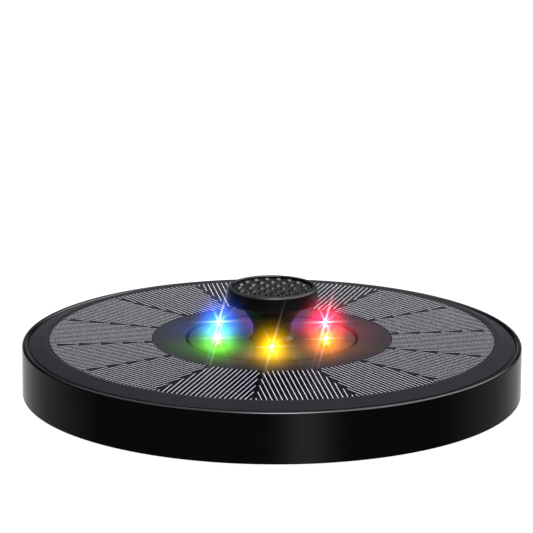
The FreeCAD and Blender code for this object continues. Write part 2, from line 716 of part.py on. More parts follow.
def battery_wires():
    """From the end of the battery, round the pump well, to the board."""
    paths = []
    z = wire_z()
    end_y = BATTERY_SIZE[1] / 2 + 0.2
    for side in (-1, 1):
        lead = connector_lead("battery", side)
        x = BATTERY_AT[0] - 12.0 - side * WIRE_PITCH / 2
        radius = 41.5 - side * WIRE_PITCH / 2
        bend = [(*polar(radius, angle), z) for angle in (62.0, 85.0, 110.0, 135.0)]
        turn = (lead[0][0] + 4.0, lead[0][1] + 1.8, z)
        paths.append([(x, end_y, z), (x, end_y + 1.0, z)] + bend + [turn] + lead)
    return wires(paths)


def led_wires():
    """From the light ring's board through the wall of its cup, down to the main board."""
    paths = []
    top = LED_BOARD_Z[1] + WIRE_R + 0.15
    for side in (-1, 1):
        lead = connector_lead("led", side)
        y = lead[0][1]
        out = [(x, y, top) for x in (-25.0, -29.0, -32.5, -34.0)]
        drop = (-39.5, y, (top + wire_z()) / 2)
        paths.append(out + [drop] + lead)
    return wires(paths)


def panel_wires():
    """Down from the solar board's solder pads, then back into the connector."""
    paths = []
    for side in (-1, 1):
        lead = connector_lead("panel", side)
        y = lead[0][1]
        heights = (BOARD_TOP_Z - 0.4, BOARD_TOP_Z - 1.6, DECK_Z - 0.6, DECK_Z - 3.0)
        paths.append([(PANEL_WIRE_X, y, z) for z in heights] + lead[1:])
    return wires(paths)


def pump_wires():
    """From the driver board out through the pump's wall and the grommet, then to the board."""
    paths = []
    across = Vector(*polar(1, PUMP_CABLE_ANGLE + 90), 0)
    for side in (-1, 1):
        lead = connector_lead("pump", -side)
        offset = across * (side * 0.85)
        line = []
        for radius in (20.0, 27.0, 31.0, 35.0):
            px, py = polar(radius, PUMP_CABLE_ANGLE)
            line.append((px + offset.x, py + offset.y, PUMP_CABLE_Z))
        bend = (lead[0][0] + 3.0, lead[0][1] * 0.92, (wire_z() + PUMP_CABLE_Z) / 2 + 1)
        paths.append(line + [bend] + lead)
    return wires(paths)


def cable_grommet():
    body = pump_cable_hole(2.35, WELL_R[0] - 0.2, WELL_R[1] + 1.2)
    flange = pump_cable_hole(3.3, WELL_R[1] + 0.3, WELL_R[1] + 1.2)
    return without(joined([body, flange]), [pump_cable_hole(1.6, WELL_R[0] - 1, WELL_R[1] + 3)])


# ---------------------------------------------------------------- pump


def passage_angle():
    """The direction from the riser in which the outlet passage is a tangent to the volute."""
    return math.degrees(math.asin(VOLUTE_OFFSET / ROTOR_AT[0]))


def passage(width, z, start, end):
    """A straight channel from the riser along the tangent."""
    return spun(block((start, end), (-width / 2, width / 2), z), passage_angle())


def motor_cavity(top):
    """The dry space round the rotor's well, the riser's socket and the screw pillars."""
    solid = [cylinder(PILLAR_R, PUMP_Z[0], top + 1, at) for at in pump_screw_places()]
    solid.append(cylinder(ROTOR_WELL_R + 1.2, PUMP_Z[0], top + 1, ROTOR_AT))
    solid.append(cylinder(RISER_R + 1.6, PUMP_Z[0], top + 1))
    return cylinder(MOTOR_CAVITY_R, MOTOR_CAVITY_Z, top).cut(joined(solid))


def pump_body():
    """Moulding with the impeller chamber below and the dry motor cavity above."""
    reach = math.sqrt(ROTOR_AT[0] ** 2 - VOLUTE_OFFSET**2)
    body = joined(
        [
            rounded(cylinder(PUMP_R, *PUMP_Z), 0.8, [(PUMP_R, PUMP_Z[0])]),
            cylinder(BOSS_R, BOSS_Z, PUMP_Z[0] + 0.5, ROTOR_AT),
            passage(PASSAGE_WIDTH + 2.6, (PASSAGE_Z[0] - 1.2, PUMP_Z[0] + 0.5), 0, reach),
            cylinder(PASSAGE_WIDTH / 2 + 2.2, PASSAGE_Z[0] - 1.2, PUMP_Z[0] + 0.5),
        ]
    )
    removed = [
        motor_cavity(PUMP_Z[1] + 1),
        cylinder(CHAMBER_R, *CHAMBER_Z, ROTOR_AT),
        cylinder(INTAKE_COVER_R + CLEARANCE, INTAKE_COVER_Z[0] - 0.05, CHAMBER_Z[0], ROTOR_AT),
        passage(PASSAGE_WIDTH, PASSAGE_Z, 0, reach),
        cylinder(RISER_BORE_R, PASSAGE_Z[0], 13.5),
        cylinder(RISER_R + 0.03, 13.0, PUMP_Z[1] + 1),
        cylinder(ROTOR_WELL_R, CHAMBER_Z[0], ROTOR_WELL_TOP, ROTOR_AT),
        cylinder(2.4, ROTOR_WELL_TOP - 1, 22.0, ROTOR_AT),
        pump_cable_hole(2.0, 26.0, PUMP_R + 1),
    ]
    # The mouth of the chamber is open but for three ledges that hold the intake cover.
    mouth = cylinder(INTAKE_COVER_R + CLEARANCE, BOSS_Z - 1, INTAKE_COVER_Z[0], ROTOR_AT)
    ledge_z = (BOSS_Z - 2, INTAKE_COVER_Z[0])
    ledges = [sector(BOSS_R, LEDGE_R, *ledge_z, a, LEDGE_SPAN, ROTOR_AT) for a in LEDGE_ANGLES]
    removed.append(mouth.cut(joined(ledges)))
    for at in pump_screw_places():
        removed.append(cylinder(1.5, PUMP_Z[0] - 1, PUMP_Z[1], at))
        removed.append(cylinder(PUMP_SCREW[0] + 0.2, PUMP_Z[0] - 1, PUMP_Z[0] + 1.8, at))
        removed.append(cylinder(PUMP_POST[0] + CLEARANCE, PUMP_POST_Z - CLEARANCE, PUMP_Z[1] + 1, at))
    return without(body, removed)


def pump_screws():
    tip = WELL_TOP_Z[0] - 1.7
    return Part.Compound([screw(PUMP_SCREW, at, PUMP_Z[0] + 1.8, tip) for at in pump_screw_places()])


def pump_gasket():
    return ring(9.5, RISER_R + 0.9, PUMP_Z[1], WELL_TOP_Z[0]).cut(cylinder(5.0, 0, 40, ROTOR_AT))


def stator_core():
    """A U of stacked iron whose two poles curve round the rotor's well."""
    low, high = STATOR_Z
    core = block(STATOR_X, (-STATOR_HALF_WIDTH, STATOR_HALF_WIDTH), STATOR_Z)
    half = WINDOW_HALF_WIDTH
    window = block((STATOR_X[0] - 1, CROSS_LEG_X), (-half, half), (low - 1, high + 1))
    return without(core, [window, cylinder(ROTOR_WELL_R + STATOR_POLE_GAP, low - 1, high + 1, ROTOR_AT)])


def grown(pair, amount):
    """A (low, high) pair with both ends moved outwards."""
    return pair[0] - amount, pair[1] + amount


def coil_bobbin():
    """A spool on the core's cross-leg."""
    leg_x = (CROSS_LEG_X, STATOR_X[1])
    edge = BOBBIN_HALF_WIDTH
    sleeve = block(grown(leg_x, BOBBIN_WALL), (-edge, edge), grown(STATOR_Z, BOBBIN_WALL))
    cheek_y = [(-edge, CHEEK_THICK - edge), (edge - CHEEK_THICK, edge)]
    cheeks = [block(grown(leg_x, CHEEK_REACH), y, grown(STATOR_Z, CHEEK_REACH)) for y in cheek_y]
    return without(joined([sleeve] + cheeks), [block(leg_x, (-edge - 1, edge + 1), STATOR_Z)])


def stator_coil():
    inside = [grown(pair, BOBBIN_WALL) for pair in ((CROSS_LEG_X, STATOR_X[1]), STATOR_Z)]
    outside = [grown(pair, COIL_DEPTH) for pair in inside]
    edge = COIL_HALF_WIDTH
    winding = block(outside[0], (-edge, edge), outside[1])
    long_edges = [e for e in winding.Edges if abs(e.tangentAt(e.FirstParameter).y) > 0.99]
    winding = winding.makeFillet(COIL_ROUNDING, long_edges)
    return winding.cut(block(inside[0], (-edge - 1, edge + 1), inside[1]))


def motor_driver_board():
    """The part of a round board that lies on the far side of the riser."""
    low, high = DRIVER_BOARD_Z
    board = cylinder(DRIVER_BOARD_R, low, high)
    kept_off = block((DRIVER_BOARD_X, DISC_R), (-DISC_R, DISC_R), (low - 1, high + 1))
    pillars = [cylinder(PILLAR_R + 0.4, low - 1, high + 1, at) for at in pump_screw_places()]
    return without(board, [kept_off] + pillars)


def driver_chips():
    """Motor driver, position sensor and two resistors."""
    low = DRIVER_BOARD_Z[1]
    packages = [
        slab((4.0, 5.0), (low, low + 1.4), (-14.0, 6.0)),
        slab((3.0, 3.0), (low, low + 1.0), (-14.0, 14.0)),
        slab((1.6, 0.9), (low, low + 0.6), (-12.0, -12.0)),
        slab((1.6, 0.9), (low, low + 0.6), (-12.0, -15.0)),
    ]
    return Part.Compound(packages)


def potting_compound():
    """Resin that fills the motor cavity round everything in it."""
    inside = [stator_core(), coil_bobbin(), stator_coil(), motor_driver_board()]
    inside += driver_chips().Solids + pump_wires().Solids
    return without(motor_cavity(POTTING_Z), inside)


def impeller():
    """Back plate with swept blades, and the sleeve that carries the magnet."""
    at = Vector(ROTOR_AT[0], ROTOR_AT[1], 0)
    plate = cylinder(IMPELLER_R, 9.2, 10.0)
    hub = cylinder(2.6, 6.5, 10.0)
    sleeve = cylinder(2.0, 10.0, MAGNET_Z[1] + 0.2)
    sweep = Part.Circle(Vector(2.2, 0, 0), Vector(5.6, -1.6, 0), Vector(8.3, -5.0, 0))
    middle, reach = sweep.Center, sweep.Radius
    blade = ring(reach + 0.4, reach - 0.4, 6.6, 9.3, (middle.x, middle.y))
    limits = cylinder(IMPELLER_R, 6.0, 10.0).cut(cylinder(2.2, 5.0, 11.0))
    blade = blade.common(limits).common(block((0.5, 20), (-20, 2), (0, 20)))
    wheel = joined([plate, hub, sleeve] + repeated(blade, BLADE_COUNT))
    wheel = without(wheel, [cylinder(SHAFT_R + RUNNING, 0, 40)])
    wheel.translate(at)
    return wheel


def rotor_magnet():
    return ring(MAGNET_R, 2.02, *MAGNET_Z, ROTOR_AT)


def rotor_shaft():
    return cylinder(SHAFT_R, 5.2, 21.8, ROTOR_AT)


def upper_shaft_bush():
    return ring(2.38, SHAFT_R + 0.01, ROTOR_WELL_TOP + 0.1, 21.9, ROTOR_AT)


def lower_shaft_bush():
    return ring(1.88, SHAFT_R + RUNNING, 5.0, CHAMBER_Z[0], ROTOR_AT)


def intake_cover():
    """Twist-lock disc under the impeller: inlet, three spokes with the shaft's seat, and a finger grip."""
    low, high = INTAKE_COVER_Z
    disc = cylinder(INTAKE_COVER_R, low, high, ROTOR_AT)
    inlet = cylinder(5.0, 0, 10, ROTOR_AT)
    spoke = block((0, 5.5), (-0.6, 0.6), (low - 0.6, high))
    spoke.translate(Vector(ROTOR_AT[0], ROTOR_AT[1], 0))
    hub = cylinder(2.8, low - 1.0, high, ROTOR_AT)
    grips = []
    for side in (-1, 1):
        x = ROTOR_AT[0] + side * 7.9
        grips.append(slab((4.4, 1.4), (low - 1.3, low + 0.2), (x, ROTOR_AT[1])))
    notch_middle = INTAKE_TWIST + LEDGE_ANGLES[0]
    notch = sector(20.0, 10.7, low - 2, high + 2, notch_middle - 2 * INTAKE_TWIST, NOTCH_SPAN, ROTOR_AT)
    notches = repeated(notch, 3, ROTOR_AT)
    cover = without(disc, [inlet] + notches)
    cover = joined([cover, hub] + repeated(spoke, 3, ROTOR_AT) + grips)
    return without(cover, [cylinder(1.9, low, high + 1, ROTOR_AT)])


# ---------------------------------------------------------------- strainer


def strainer_cover():
    """Push-on basket over the pump. It is also the foot the fountain stands on."""
    inner, outer = STRAINER_R
    cup = cylinder(outer, 0, STRAINER_TOP).cut(cylinder(inner, STRAINER_FLOOR, STRAINER_TOP + 1))
    cup = rounded(cup, 1.2, [(outer, 0)])
    cup = rounded(cup, 0.5, [(outer, STRAINER_TOP)])
    width, low, high = SIDE_SLOT
    side_slot = block((inner - 1, outer + 1), (-width / 2, width / 2), (low, high))
    width, start, end = FLOOR_SLOT
    floor_slot = joined(
        [
            block((start, end), (-width / 2, width / 2), (-1, STRAINER_FLOOR + 1)),
            cylinder(width / 2, -1, STRAINER_FLOOR + 1, (start, 0)),
            cylinder(width / 2, -1, STRAINER_FLOOR + 1, (end, 0)),
        ]
    )
    return without(cup, repeated(side_slot, SIDE_SLOTS) + repeated(floor_slot, FLOOR_SLOTS))


def filter_sponge():
    """Foam disc that fills the basket and leaves room for the chamber and the outlet passage."""
    sponge = cylinder(STRAINER_R[0] - 0.3, STRAINER_FLOOR, COLLAR_Z - 0.4)
    room = joined(
        [
            cylinder(BOSS_R + 0.5, 3.4, 20, ROTOR_AT),
            passage(PASSAGE_WIDTH + 3.6, (PASSAGE_Z[0] - 1.7, 20), 0, 14),
            cylinder(PASSAGE_WIDTH / 2 + 2.8, PASSAGE_Z[0] - 1.7, 20),
        ]
    )
    return without(sponge, [room])


# ---------------------------------------------------------------- riser and nozzle


def outlet_riser():
    """Tube from the pump through the float to the nozzle, with a groove for each seal."""
    tube = turned(
        [
            (RISER_BORE_R, 13.0),
            (RISER_R, 13.0),
            (RISER_R, STEM_Z),
            (SPIGOT_R, STEM_Z),
            (SPIGOT_R, SPIGOT_TOP_Z - 0.6),
            (SPIGOT_R - 0.5, SPIGOT_TOP_Z),
            (RISER_BORE_R, SPIGOT_TOP_Z),
        ]
    )
    grooves = [ring(RISER_R + 1, RISER_R - 0.72, z - 0.75, z + 0.75) for z in riser_seal_heights()]
    return without(tube, grooves)


def riser_seal_heights():
    return [sum(WELL_TOP_Z) / 2, sum(CUP_FLOOR_Z) / 2]


def riser_seals():
    return Part.Compound([torus(RISER_R - 0.06, 0.64, z) for z in riser_seal_heights()])


def nozzle_stem():
    """Push-on stem: foot collar, neck and cone."""
    socket_r = SPIGOT_R + RUNNING
    top = HEAD_Z[0]
    stem = turned(
        [
            (socket_r, STEM_Z),
            (STEM_FOOT_R, STEM_Z),
            (COLLAR_WIDE_R, COLLAR_WIDE_Z[0]),
            (COLLAR_WIDE_R, COLLAR_WIDE_Z[1]),
            (NECK_R, NECK_Z[0]),
            (NECK_R, NECK_Z[1]),
            (CONE_TOP_R, top - 0.1),
            (HEAD_SOCKET_R, top - 0.1),
            (HEAD_SOCKET_R, top + 1.9),
            (HEAD_SOCKET_R - 1.4, top + 1.9),
            (RISER_BORE_R + 0.6, top - 4.0),
            (RISER_BORE_R, top - 4.6),
            (RISER_BORE_R, SPIGOT_TOP_Z + 0.3),
            (socket_r, SPIGOT_TOP_Z + 0.3),
        ]
    )
    stem = rounded(stem, 0.15, [(COLLAR_WIDE_R, z) for z in COLLAR_WIDE_Z])
    return rounded(stem, 1.6, [(NECK_R, NECK_Z[1])])


def spray_head():
    """The cup that turns on the stem."""
    low, high = HEAD_Z
    ledge = PLATE_Z[0]
    cup = turned(
        [
            (HEAD_SOCKET_R + RUNNING, low),
            (HEAD_R, low),
            (HEAD_R, high),
            (PLATE_R + 0.1, high),
            (PLATE_R + 0.1, ledge),
            (PLATE_R - 1.2, ledge),
            (PLATE_R - 1.2, low + 1.4),
            (HEAD_SOCKET_R + RUNNING, low + 1.4),
        ]
    )
    cup = rounded(cup, 1.0, [(HEAD_R, low)])
    cup = rounded(cup, 1.3, [(HEAD_R, high)])
    return rounded(cup, 0.5, [(PLATE_R + 0.1, high)])


def spray_plate():
    """Perforated plate with a small nipple round each leaning jet hole."""
    low, high = PLATE_Z
    plate = rounded(cylinder(PLATE_R, low, high), 0.3, [(PLATE_R, high)])
    nipples, holes = [], []
    for radius, count, lean in JET_RINGS:
        for k in range(count):
            angle = k * 360.0 / count
            for radii, z, height, into in (
                (NIPPLE_R, high - 0.1, NIPPLE_HEIGHT + 0.1, nipples),
                ((JET_R, JET_R), low - 2.0, high - low + 4.0, holes),
            ):
                jet = Part.makeCone(radii[0], radii[1], height) if radii[0] != radii[1] else None
                jet = jet or Part.makeCylinder(radii[0], height)
                jet.translate(Vector(0, 0, z - high))
                jet.rotate(Vector(), Vector(0, 1, 0), lean)
                jet.translate(Vector(radius, 0, high))
                into.append(spun(jet, angle))
    return without(joined([plate] + nipples), holes)


# ---------------------------------------------------------------- write every piece

PIECES = {
    "base_shell": base_shell,
    "rim_gasket": rim_gasket,
    "deck_screws": deck_screws,
    "panel_carrier": panel_carrier,
    "solar_backboard": solar_backboard,
    "solar_cells": solar_cells,
    "cell_links": cell_links,
    "panel_cover": panel_cover,
    "led_lens": led_lens,
    "lens_gasket": lens_gasket,
    "led_board": led_board,
    "led_board_screws": led_board_screws,
    "main_board": main_board,
    "board_chips": board_chips,
    "board_inductor": board_inductor,
    "board_capacitor": board_capacitor,
    "board_connectors": board_connectors,
    "board_screws": board_screws,
    "mode_switch": mode_switch,
    "switch_plunger": switch_plunger,
    "mode_button": mode_button,
    "button_oring": button_oring,
    "battery_pack": battery_pack,
    "battery_pads": battery_pads,
    "battery_clamp": battery_clamp,
    "clamp_screws": clamp_screws,
    "battery_wires": battery_wires,
    "led_wires": led_wires,
    "panel_wires": panel_wires,
    "pump_wires": pump_wires,
    "cable_grommet": cable_grommet,
    "pump_body": pump_body,
    "pump_screws": pump_screws,
    "pump_gasket": pump_gasket,
    "stator_core": stator_core,
    "coil_bobbin": coil_bobbin,
    "stator_coil": stator_coil,
    "motor_driver_board": motor_driver_board,
    "driver_chips": driver_chips,
    "potting_compound": potting_compound,
    "impeller": impeller,
    "rotor_magnet": rotor_magnet,
    "rotor_shaft": rotor_shaft,
    "upper_shaft_bush": upper_shaft_bush,
    "lower_shaft_bush": lower_shaft_bush,
    "intake_cover": intake_cover,
    "strainer_cover": strainer_cover,
    "filter_sponge": filter_sponge,
    "outlet_riser": outlet_riser,
    "riser_seals": riser_seals,
    "nozzle_stem": nozzle_stem,
    "spray_head": spray_head,
    "spray_plate": spray_plate,
}


def main():
    os.makedirs("parts", exist_ok=True)
    shapes = {name: build() for name, build in PIECES.items()}
    for name, angle in LED_NAMES.items():
        shapes[name] = led(angle)
    for name, shape in shapes.items():
        for solid in shape.Solids:
            if not solid.isValid() or solid.Volume <= 0:
                print("bad solid in", name)
        shape.exportStep(f"parts/{name}.step")
    print(len(shapes), "pieces")


main()
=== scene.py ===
import math

import bmesh
import bpy
from mathutils import Matrix, Vector
from mathutils import noise as value_noise


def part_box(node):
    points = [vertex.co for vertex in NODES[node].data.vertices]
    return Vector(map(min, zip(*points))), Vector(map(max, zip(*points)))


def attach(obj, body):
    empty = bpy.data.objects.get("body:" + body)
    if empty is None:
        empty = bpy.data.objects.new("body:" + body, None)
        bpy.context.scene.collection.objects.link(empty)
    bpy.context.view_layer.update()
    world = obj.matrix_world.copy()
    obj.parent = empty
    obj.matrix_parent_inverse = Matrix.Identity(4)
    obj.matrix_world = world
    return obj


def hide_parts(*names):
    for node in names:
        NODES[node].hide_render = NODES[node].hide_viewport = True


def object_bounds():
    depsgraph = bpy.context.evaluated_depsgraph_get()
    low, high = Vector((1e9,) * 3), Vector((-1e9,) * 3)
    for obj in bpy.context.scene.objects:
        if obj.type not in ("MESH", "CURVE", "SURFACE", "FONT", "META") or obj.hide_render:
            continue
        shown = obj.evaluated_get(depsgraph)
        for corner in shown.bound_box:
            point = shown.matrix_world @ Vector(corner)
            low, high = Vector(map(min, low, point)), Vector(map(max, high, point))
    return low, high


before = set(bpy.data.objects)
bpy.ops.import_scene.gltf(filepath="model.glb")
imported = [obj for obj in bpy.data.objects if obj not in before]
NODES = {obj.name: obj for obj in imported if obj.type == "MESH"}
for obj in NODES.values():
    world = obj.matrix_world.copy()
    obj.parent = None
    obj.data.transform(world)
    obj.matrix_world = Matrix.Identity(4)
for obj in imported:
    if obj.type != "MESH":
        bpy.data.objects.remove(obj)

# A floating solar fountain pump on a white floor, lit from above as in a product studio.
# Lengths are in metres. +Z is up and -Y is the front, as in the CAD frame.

MM = 0.001
CAD_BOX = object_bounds()

# ---------------------------------------------------------------- camera and studio

CAMERA_ELEVATION = 15.51
CAMERA_DISTANCE = 1.4
CAMERA_LENS = 262.17
SENSOR = 36.0
CAMERA_TILT_UP = 1.081
CAMERA_YAW_LEFT = 0.086
CAMERA_ROLL = 0.273
CAMERA_AIM = 0.6 * MM  # above the top of the base shell

SOFTBOX_SIZE = (0.75, 0.6)
SOFTBOX_PLACE = (0, 0.04, 0.85)
SOFTBOX_WATTS = 9.0

FLOOR_REACH = 30.0
FLOOR_GAP = 0.05 * MM  # under the lowest face, so that the two never share a plane

# What polished surfaces reflect: position along the away direction, then brightness.
FAR_SIDE = [
    (0.0, 0.03),
    (0.25, 0.11),
    (0.5, 0.18),
    (0.65, 0.22),
    (0.77, 0.30),
    (0.88, 0.40),
    (0.95, 0.50),
    (1.0, 0.8),
]
WINDOW_AT = 0.25
WINDOW_WIDTH = 0.17
WINDOW_LIGHT = 0.42
CEILING_LIGHT = 1.2
CEILING_FRONT = 20.0  # extra, over the camera and a little to its right
CEILING_SIDE = 4.5  # extra, at the camera's right
PLAIN_LIGHT = 0.45  # what matt surfaces receive from every direction

# ---------------------------------------------------------------- lights of the fountain

LAMP_NAMES = ["yellow", "orange", "red", "violet", "blue", "green"]
LAMP_GLOW = {
    "yellow": (1.0, 0.56, 0.02),
    "orange": (1.0, 0.28, 0.02),
    "red": (1.5, 0.04, 0.16),
    "violet": (0.45, 0.05, 1.0),
    "blue": (0.03, 0.20, 1.5),
    "green": (0.20, 1.0, 0.01),
}

LAMP_POWER = 160.0  # emission at the middle of each lit core
BLOOM_FLOOR = 3.0
BLOOM = [(5, 0.05), (13, 0.32), (28, 1.10)]  # radius in pixels of the finished picture, strength
STAR_THRESHOLD = 90.0
# Each pair of rays: angle in degrees, strength, steps, fade
STAR_RAYS = [
    (74.0, 0.45, 3, 0.90),
    (2.0, 0.45, 3, 0.85),
    (-66.0, 0.32, 3, 0.84),
    (38.0, 0.22, 3, 0.82),
]
LAMP_CORE_R = 0.85 * MM
LAMP_CORE_HEIGHT = 2.95 * MM  # above the lens
LAMP_CORE_FOOT = [(0.35, -1.6), (0.6, -1.2)]  # radius and height, in core radii
LAMP_CORE_STEPS = 24
THROW_WATTS = 0.0012
THROW_HEIGHT = 5.2 * MM  # above the lens
THROW_SOFTNESS = 1.5 * MM

# Painted light: how far each light's colour is painted, as emission, on the lens and the slate round it, and
# how strongly.
LENS_PAINTED_GLOW = (8.0 * MM, 0.48)
SLATE_PAINTED_GLOW = (10.5 * MM, 0.32)
PAINTED_GLOW_FALL = 1.6  # power of the fall-off

# ---------------------------------------------------------------- silver fingers on the cells

FINGER_PITCH = 1.75 * MM
FINGER_WIDTH = 0.24 * MM
FINGER_THICK = 0.03 * MM
FINGER_EDGE = 0.35 * MM  # bare edge round each cell
SHORTEST_FINGER = 0.5 * FINGER_PITCH

# ---------------------------------------------------------------- slate round the cells

SEAM_INSET = 0.1 * MM  # how far inside the ring of cells the black below the seams ends
BORDER_START = 0.5 * MM  # outside the ring of cells, on the clear sheet

# ---------------------------------------------------------------- sponge

FOAM_VOXEL = 0.6 * MM
FOAM_PORE = 1.1 * MM
FOAM_LUMP = 1.6 * MM
FOAM_INSET = 0.12 * MM
FOAM_PORE_DEPTH = 0.22 * MM
FOAM_LUMP_DEPTH = 0.18 * MM


# ---------------------------------------------------------------- shader building


class Nodes:
    """An empty shader tree that nodes are added to."""

    def __init__(self, tree):
        self.tree = tree
        tree.nodes.clear()

    def add(self, kind, inputs=None, **settings):
        made = self.tree.nodes.new("ShaderNode" + kind)
        for key, value in settings.items():
            setattr(made, key, value)
        for key, value in (inputs or {}).items():
            self.put(made.inputs[key], value)
        return made

    def put(self, socket, value):
        if isinstance(value, bpy.types.NodeSocket):
            self.tree.links.new(value, socket)
        elif getattr(socket, "type", "") == "RGBA" and len(value) == 3:
            socket.default_value = (*value, 1.0)
        else:
            socket.default_value = value

    def math(self, operation, a, b=0.0, clamp=False):
        return self.add("Math", {0: a, 1: b}, operation=operation, use_clamp=clamp).outputs[0]

    def ramp(self, value, low, high, start=0.0, end=1.0, smooth=False):
        """Maps low..high to start..end, clamped."""
        kind = "SMOOTHSTEP" if smooth else "LINEAR"
        inputs = {"Value": value, "From Min": low, "From Max": high, "To Min": start, "To Max": end}
        return self.add("MapRange", inputs, interpolation_type=kind, clamp=True).outputs["Result"]


class Shader(Nodes):
    """A material built on one Principled node. Its methods add nodes and return an output socket."""

    def __init__(self, name):
        self.material = bpy.data.materials.new(name)
        self.material.use_nodes = True
        super().__init__(self.material.node_tree)
        self.surface = self.add("BsdfPrincipled")
        self.add("OutputMaterial", {"Surface": self.surface.outputs[0]})
        self.place = self.add("TexCoord").outputs["Object"]

    def set(self, **values):
        """Sets inputs of the Principled node, with an underscore for each space in a name."""
        for key, value in values.items():
            self.put(self.surface.inputs[key.replace("_", " ")], value)
        return self

    def vector(self, operation, a, b=(0, 0, 0)):
        return self.add("VectorMath", {0: a, 1: b}, operation=operation).outputs[0]

    def length(self, a):
        return self.add("VectorMath", {0: a}, operation="LENGTH").outputs["Value"]

    def noise(self, size, detail=3.0, roughness=0.55, stretch=None):
        """Smooth noise from 0 to 1 whose features are about size metres across."""
        where = self.vector("MULTIPLY", self.place, stretch) if stretch else self.place
        inputs = {"Vector": where, "Scale": 1.0 / size, "Detail": detail, "Roughness": roughness}
        return self.add("TexNoise", inputs).outputs["Fac"]

    def cells(self, size, feature="F1", randomness=1.0):
        """Distance from the middle or the edge of the nearest of many cells, about size metres across."""
        inputs = {"Vector": self.place, "Scale": 1.0 / size, "Randomness": randomness}
        return self.add("TexVoronoi", inputs, feature=feature).outputs["Distance"]

    def waves(self, per_metre, distortion, direction="X"):
        """Bands from 0 to 1 across one direction."""
        inputs = {"Vector": self.place, "Scale": per_metre, "Distortion": distortion}
        return self.add("TexWave", inputs, bands_direction=direction).outputs["Fac"]

    def spread(self, noise, start=0.0, end=1.0):
        """Maps the usual range of a noise to start..end."""
        return self.ramp(noise, 0.3, 0.7, start, end)

    def invert(self, value):
        return self.math("SUBTRACT", 1.0, value)

    def mix(self, factor, a, b, blend="MIX"):
        made = self.add("Mix", data_type="RGBA", blend_type=blend, clamp_result=False)
        for socket, value in ((made.inputs[0], factor), (made.inputs[6], a), (made.inputs[7], b)):
            self.put(socket, value)
        return made.outputs[2]

    def bump(self, height, depth):
        return self.add("Bump", {"Height": height, "Distance": depth, "Strength": 1.0}).outputs["Normal"]

    def radius(self):
        """Distance from the spray axis."""
        return self.length(self.vector("MULTIPLY", self.place, (1, 1, 0)))

    def facing_up(self, value=1.0):
        """The value on level faces, and 0 on slopes and walls."""
        normal = self.add("SeparateXYZ", {0: self.add("NewGeometry").outputs["Normal"]})
        return self.ramp(normal.outputs["Z"], 0.95, 0.99, 0.0, value)

    def front_side(self):
        """1 where a face is seen from its front, and 0 from its back."""
        return self.invert(self.add("NewGeometry").outputs["Backfacing"])

    def edge_wear(self, width):
        """1 on sharp edges, fading to 0 on flat faces."""
        soft = self.add("Bevel", {"Radius": width}, samples=4).outputs[0]
        sharp = self.add("NewGeometry").outputs["Normal"]
        dot = self.add("VectorMath", {0: soft, 1: sharp}, operation="DOT_PRODUCT").outputs["Value"]
        return self.ramp(dot, 0.995, 0.86)


def lamp_places():
    """Name to the point where each light's axis comes through the top of the lens."""
    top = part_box("led_lens")[1].z
    places = {}
    for name in LAMP_NAMES:
        tips = [v.co for v in NODES["led_" + name].data.vertices if v.co.z > top]
        middle = sum(tips, Vector()) / len(tips)
        places[name] = Vector((middle.x, middle.y, top))
    return places


def painted_glow(shader, reach, gain):
    """Painted light: the lights' colours as an emission colour, fading with distance from each light."""
    total = (0.0, 0.0, 0.0)
    for name, place in lamp_places().items():
        away = shader.vector("SUBTRACT", shader.place, place)
        ratio = shader.math("DIVIDE", shader.length(away), reach)
        depth = shader.math("MULTIPLY", shader.math("POWER", ratio, PAINTED_GLOW_FALL), -1.0)
        fall = shader.math("EXPONENT", depth)
        tint = [gain * c for c in LAMP_GLOW[name]]
        scaled = shader.mix(fall, (0, 0, 0), tint)
        total = shader.mix(1.0, total, scaled, "ADD")
    return total


# ---------------------------------------------------------------- materials


def moulded(name, colour, roughness, grain=0.35 * MM, depth=0.004 * MM, wear=0.25, tint=0.35):
    """Moulded plastic: fine spark-eroded grain, slow shifts of sheen, and edges rubbed paler."""
    s = Shader(name)
    cloud = s.noise(14 * MM, detail=4)
    grain_noise = s.noise(grain, detail=2)
    pale = tuple(c * (1 + 2.2 * tint) + 0.004 * tint for c in colour)
    base = s.mix(s.ramp(cloud, 0.35, 0.7, 0.0, 0.8), colour, pale)
    if wear:
        rub = s.math("MULTIPLY", s.edge_wear(0.35 * MM), s.ramp(s.noise(3 * MM), 0.4, 0.65))
        base = s.mix(s.math("MULTIPLY", rub, wear), base, tuple(min(1, 3.5 * c + 0.02) for c in colour))
    rough = s.math("ADD", s.spread(cloud, -0.05, 0.05), s.spread(grain_noise, -0.03, 0.03))
    s.set(Base_Color=base, Roughness=s.math("ADD", rough, roughness, clamp=True))
    s.set(Normal=s.bump(grain_noise, depth))
    return s


def gloss_shell():
    """Polished black plastic with faint smears, a few dust specks and a slightly wavy skin."""
    s = Shader("gloss_black")
    smear = s.noise(9 * MM, detail=5, stretch=(1, 1, 3.5))
    specks = s.ramp(s.cells(2.1 * MM), 0.06, 0.03)
    kept = s.math("MULTIPLY", specks, s.ramp(s.noise(11 * MM), 0.55, 0.62))
    base = s.mix(s.math("MULTIPLY", kept, 0.35), (0.0018, 0.0018, 0.0024), (0.09, 0.088, 0.085))
    s.set(Base_Color=base, Roughness=s.ramp(smear, 0.35, 0.75, 0.07, 0.17))
    s.set(IOR=1.48, Normal=s.bump(s.noise(6 * MM, detail=1), 0.006 * MM))
    return s


def slate_colour(s, cloud, weave):
    """Dark slate with slow shifts of tone and a fine paler weave."""
    slate = s.mix(s.spread(cloud), (0.0175, 0.0166, 0.0220), (0.0215, 0.0204, 0.0270))
    return s.mix(s.ramp(weave, 0.3, 0.75, 0.0, 0.35), slate, (0.0290, 0.0275, 0.0365))


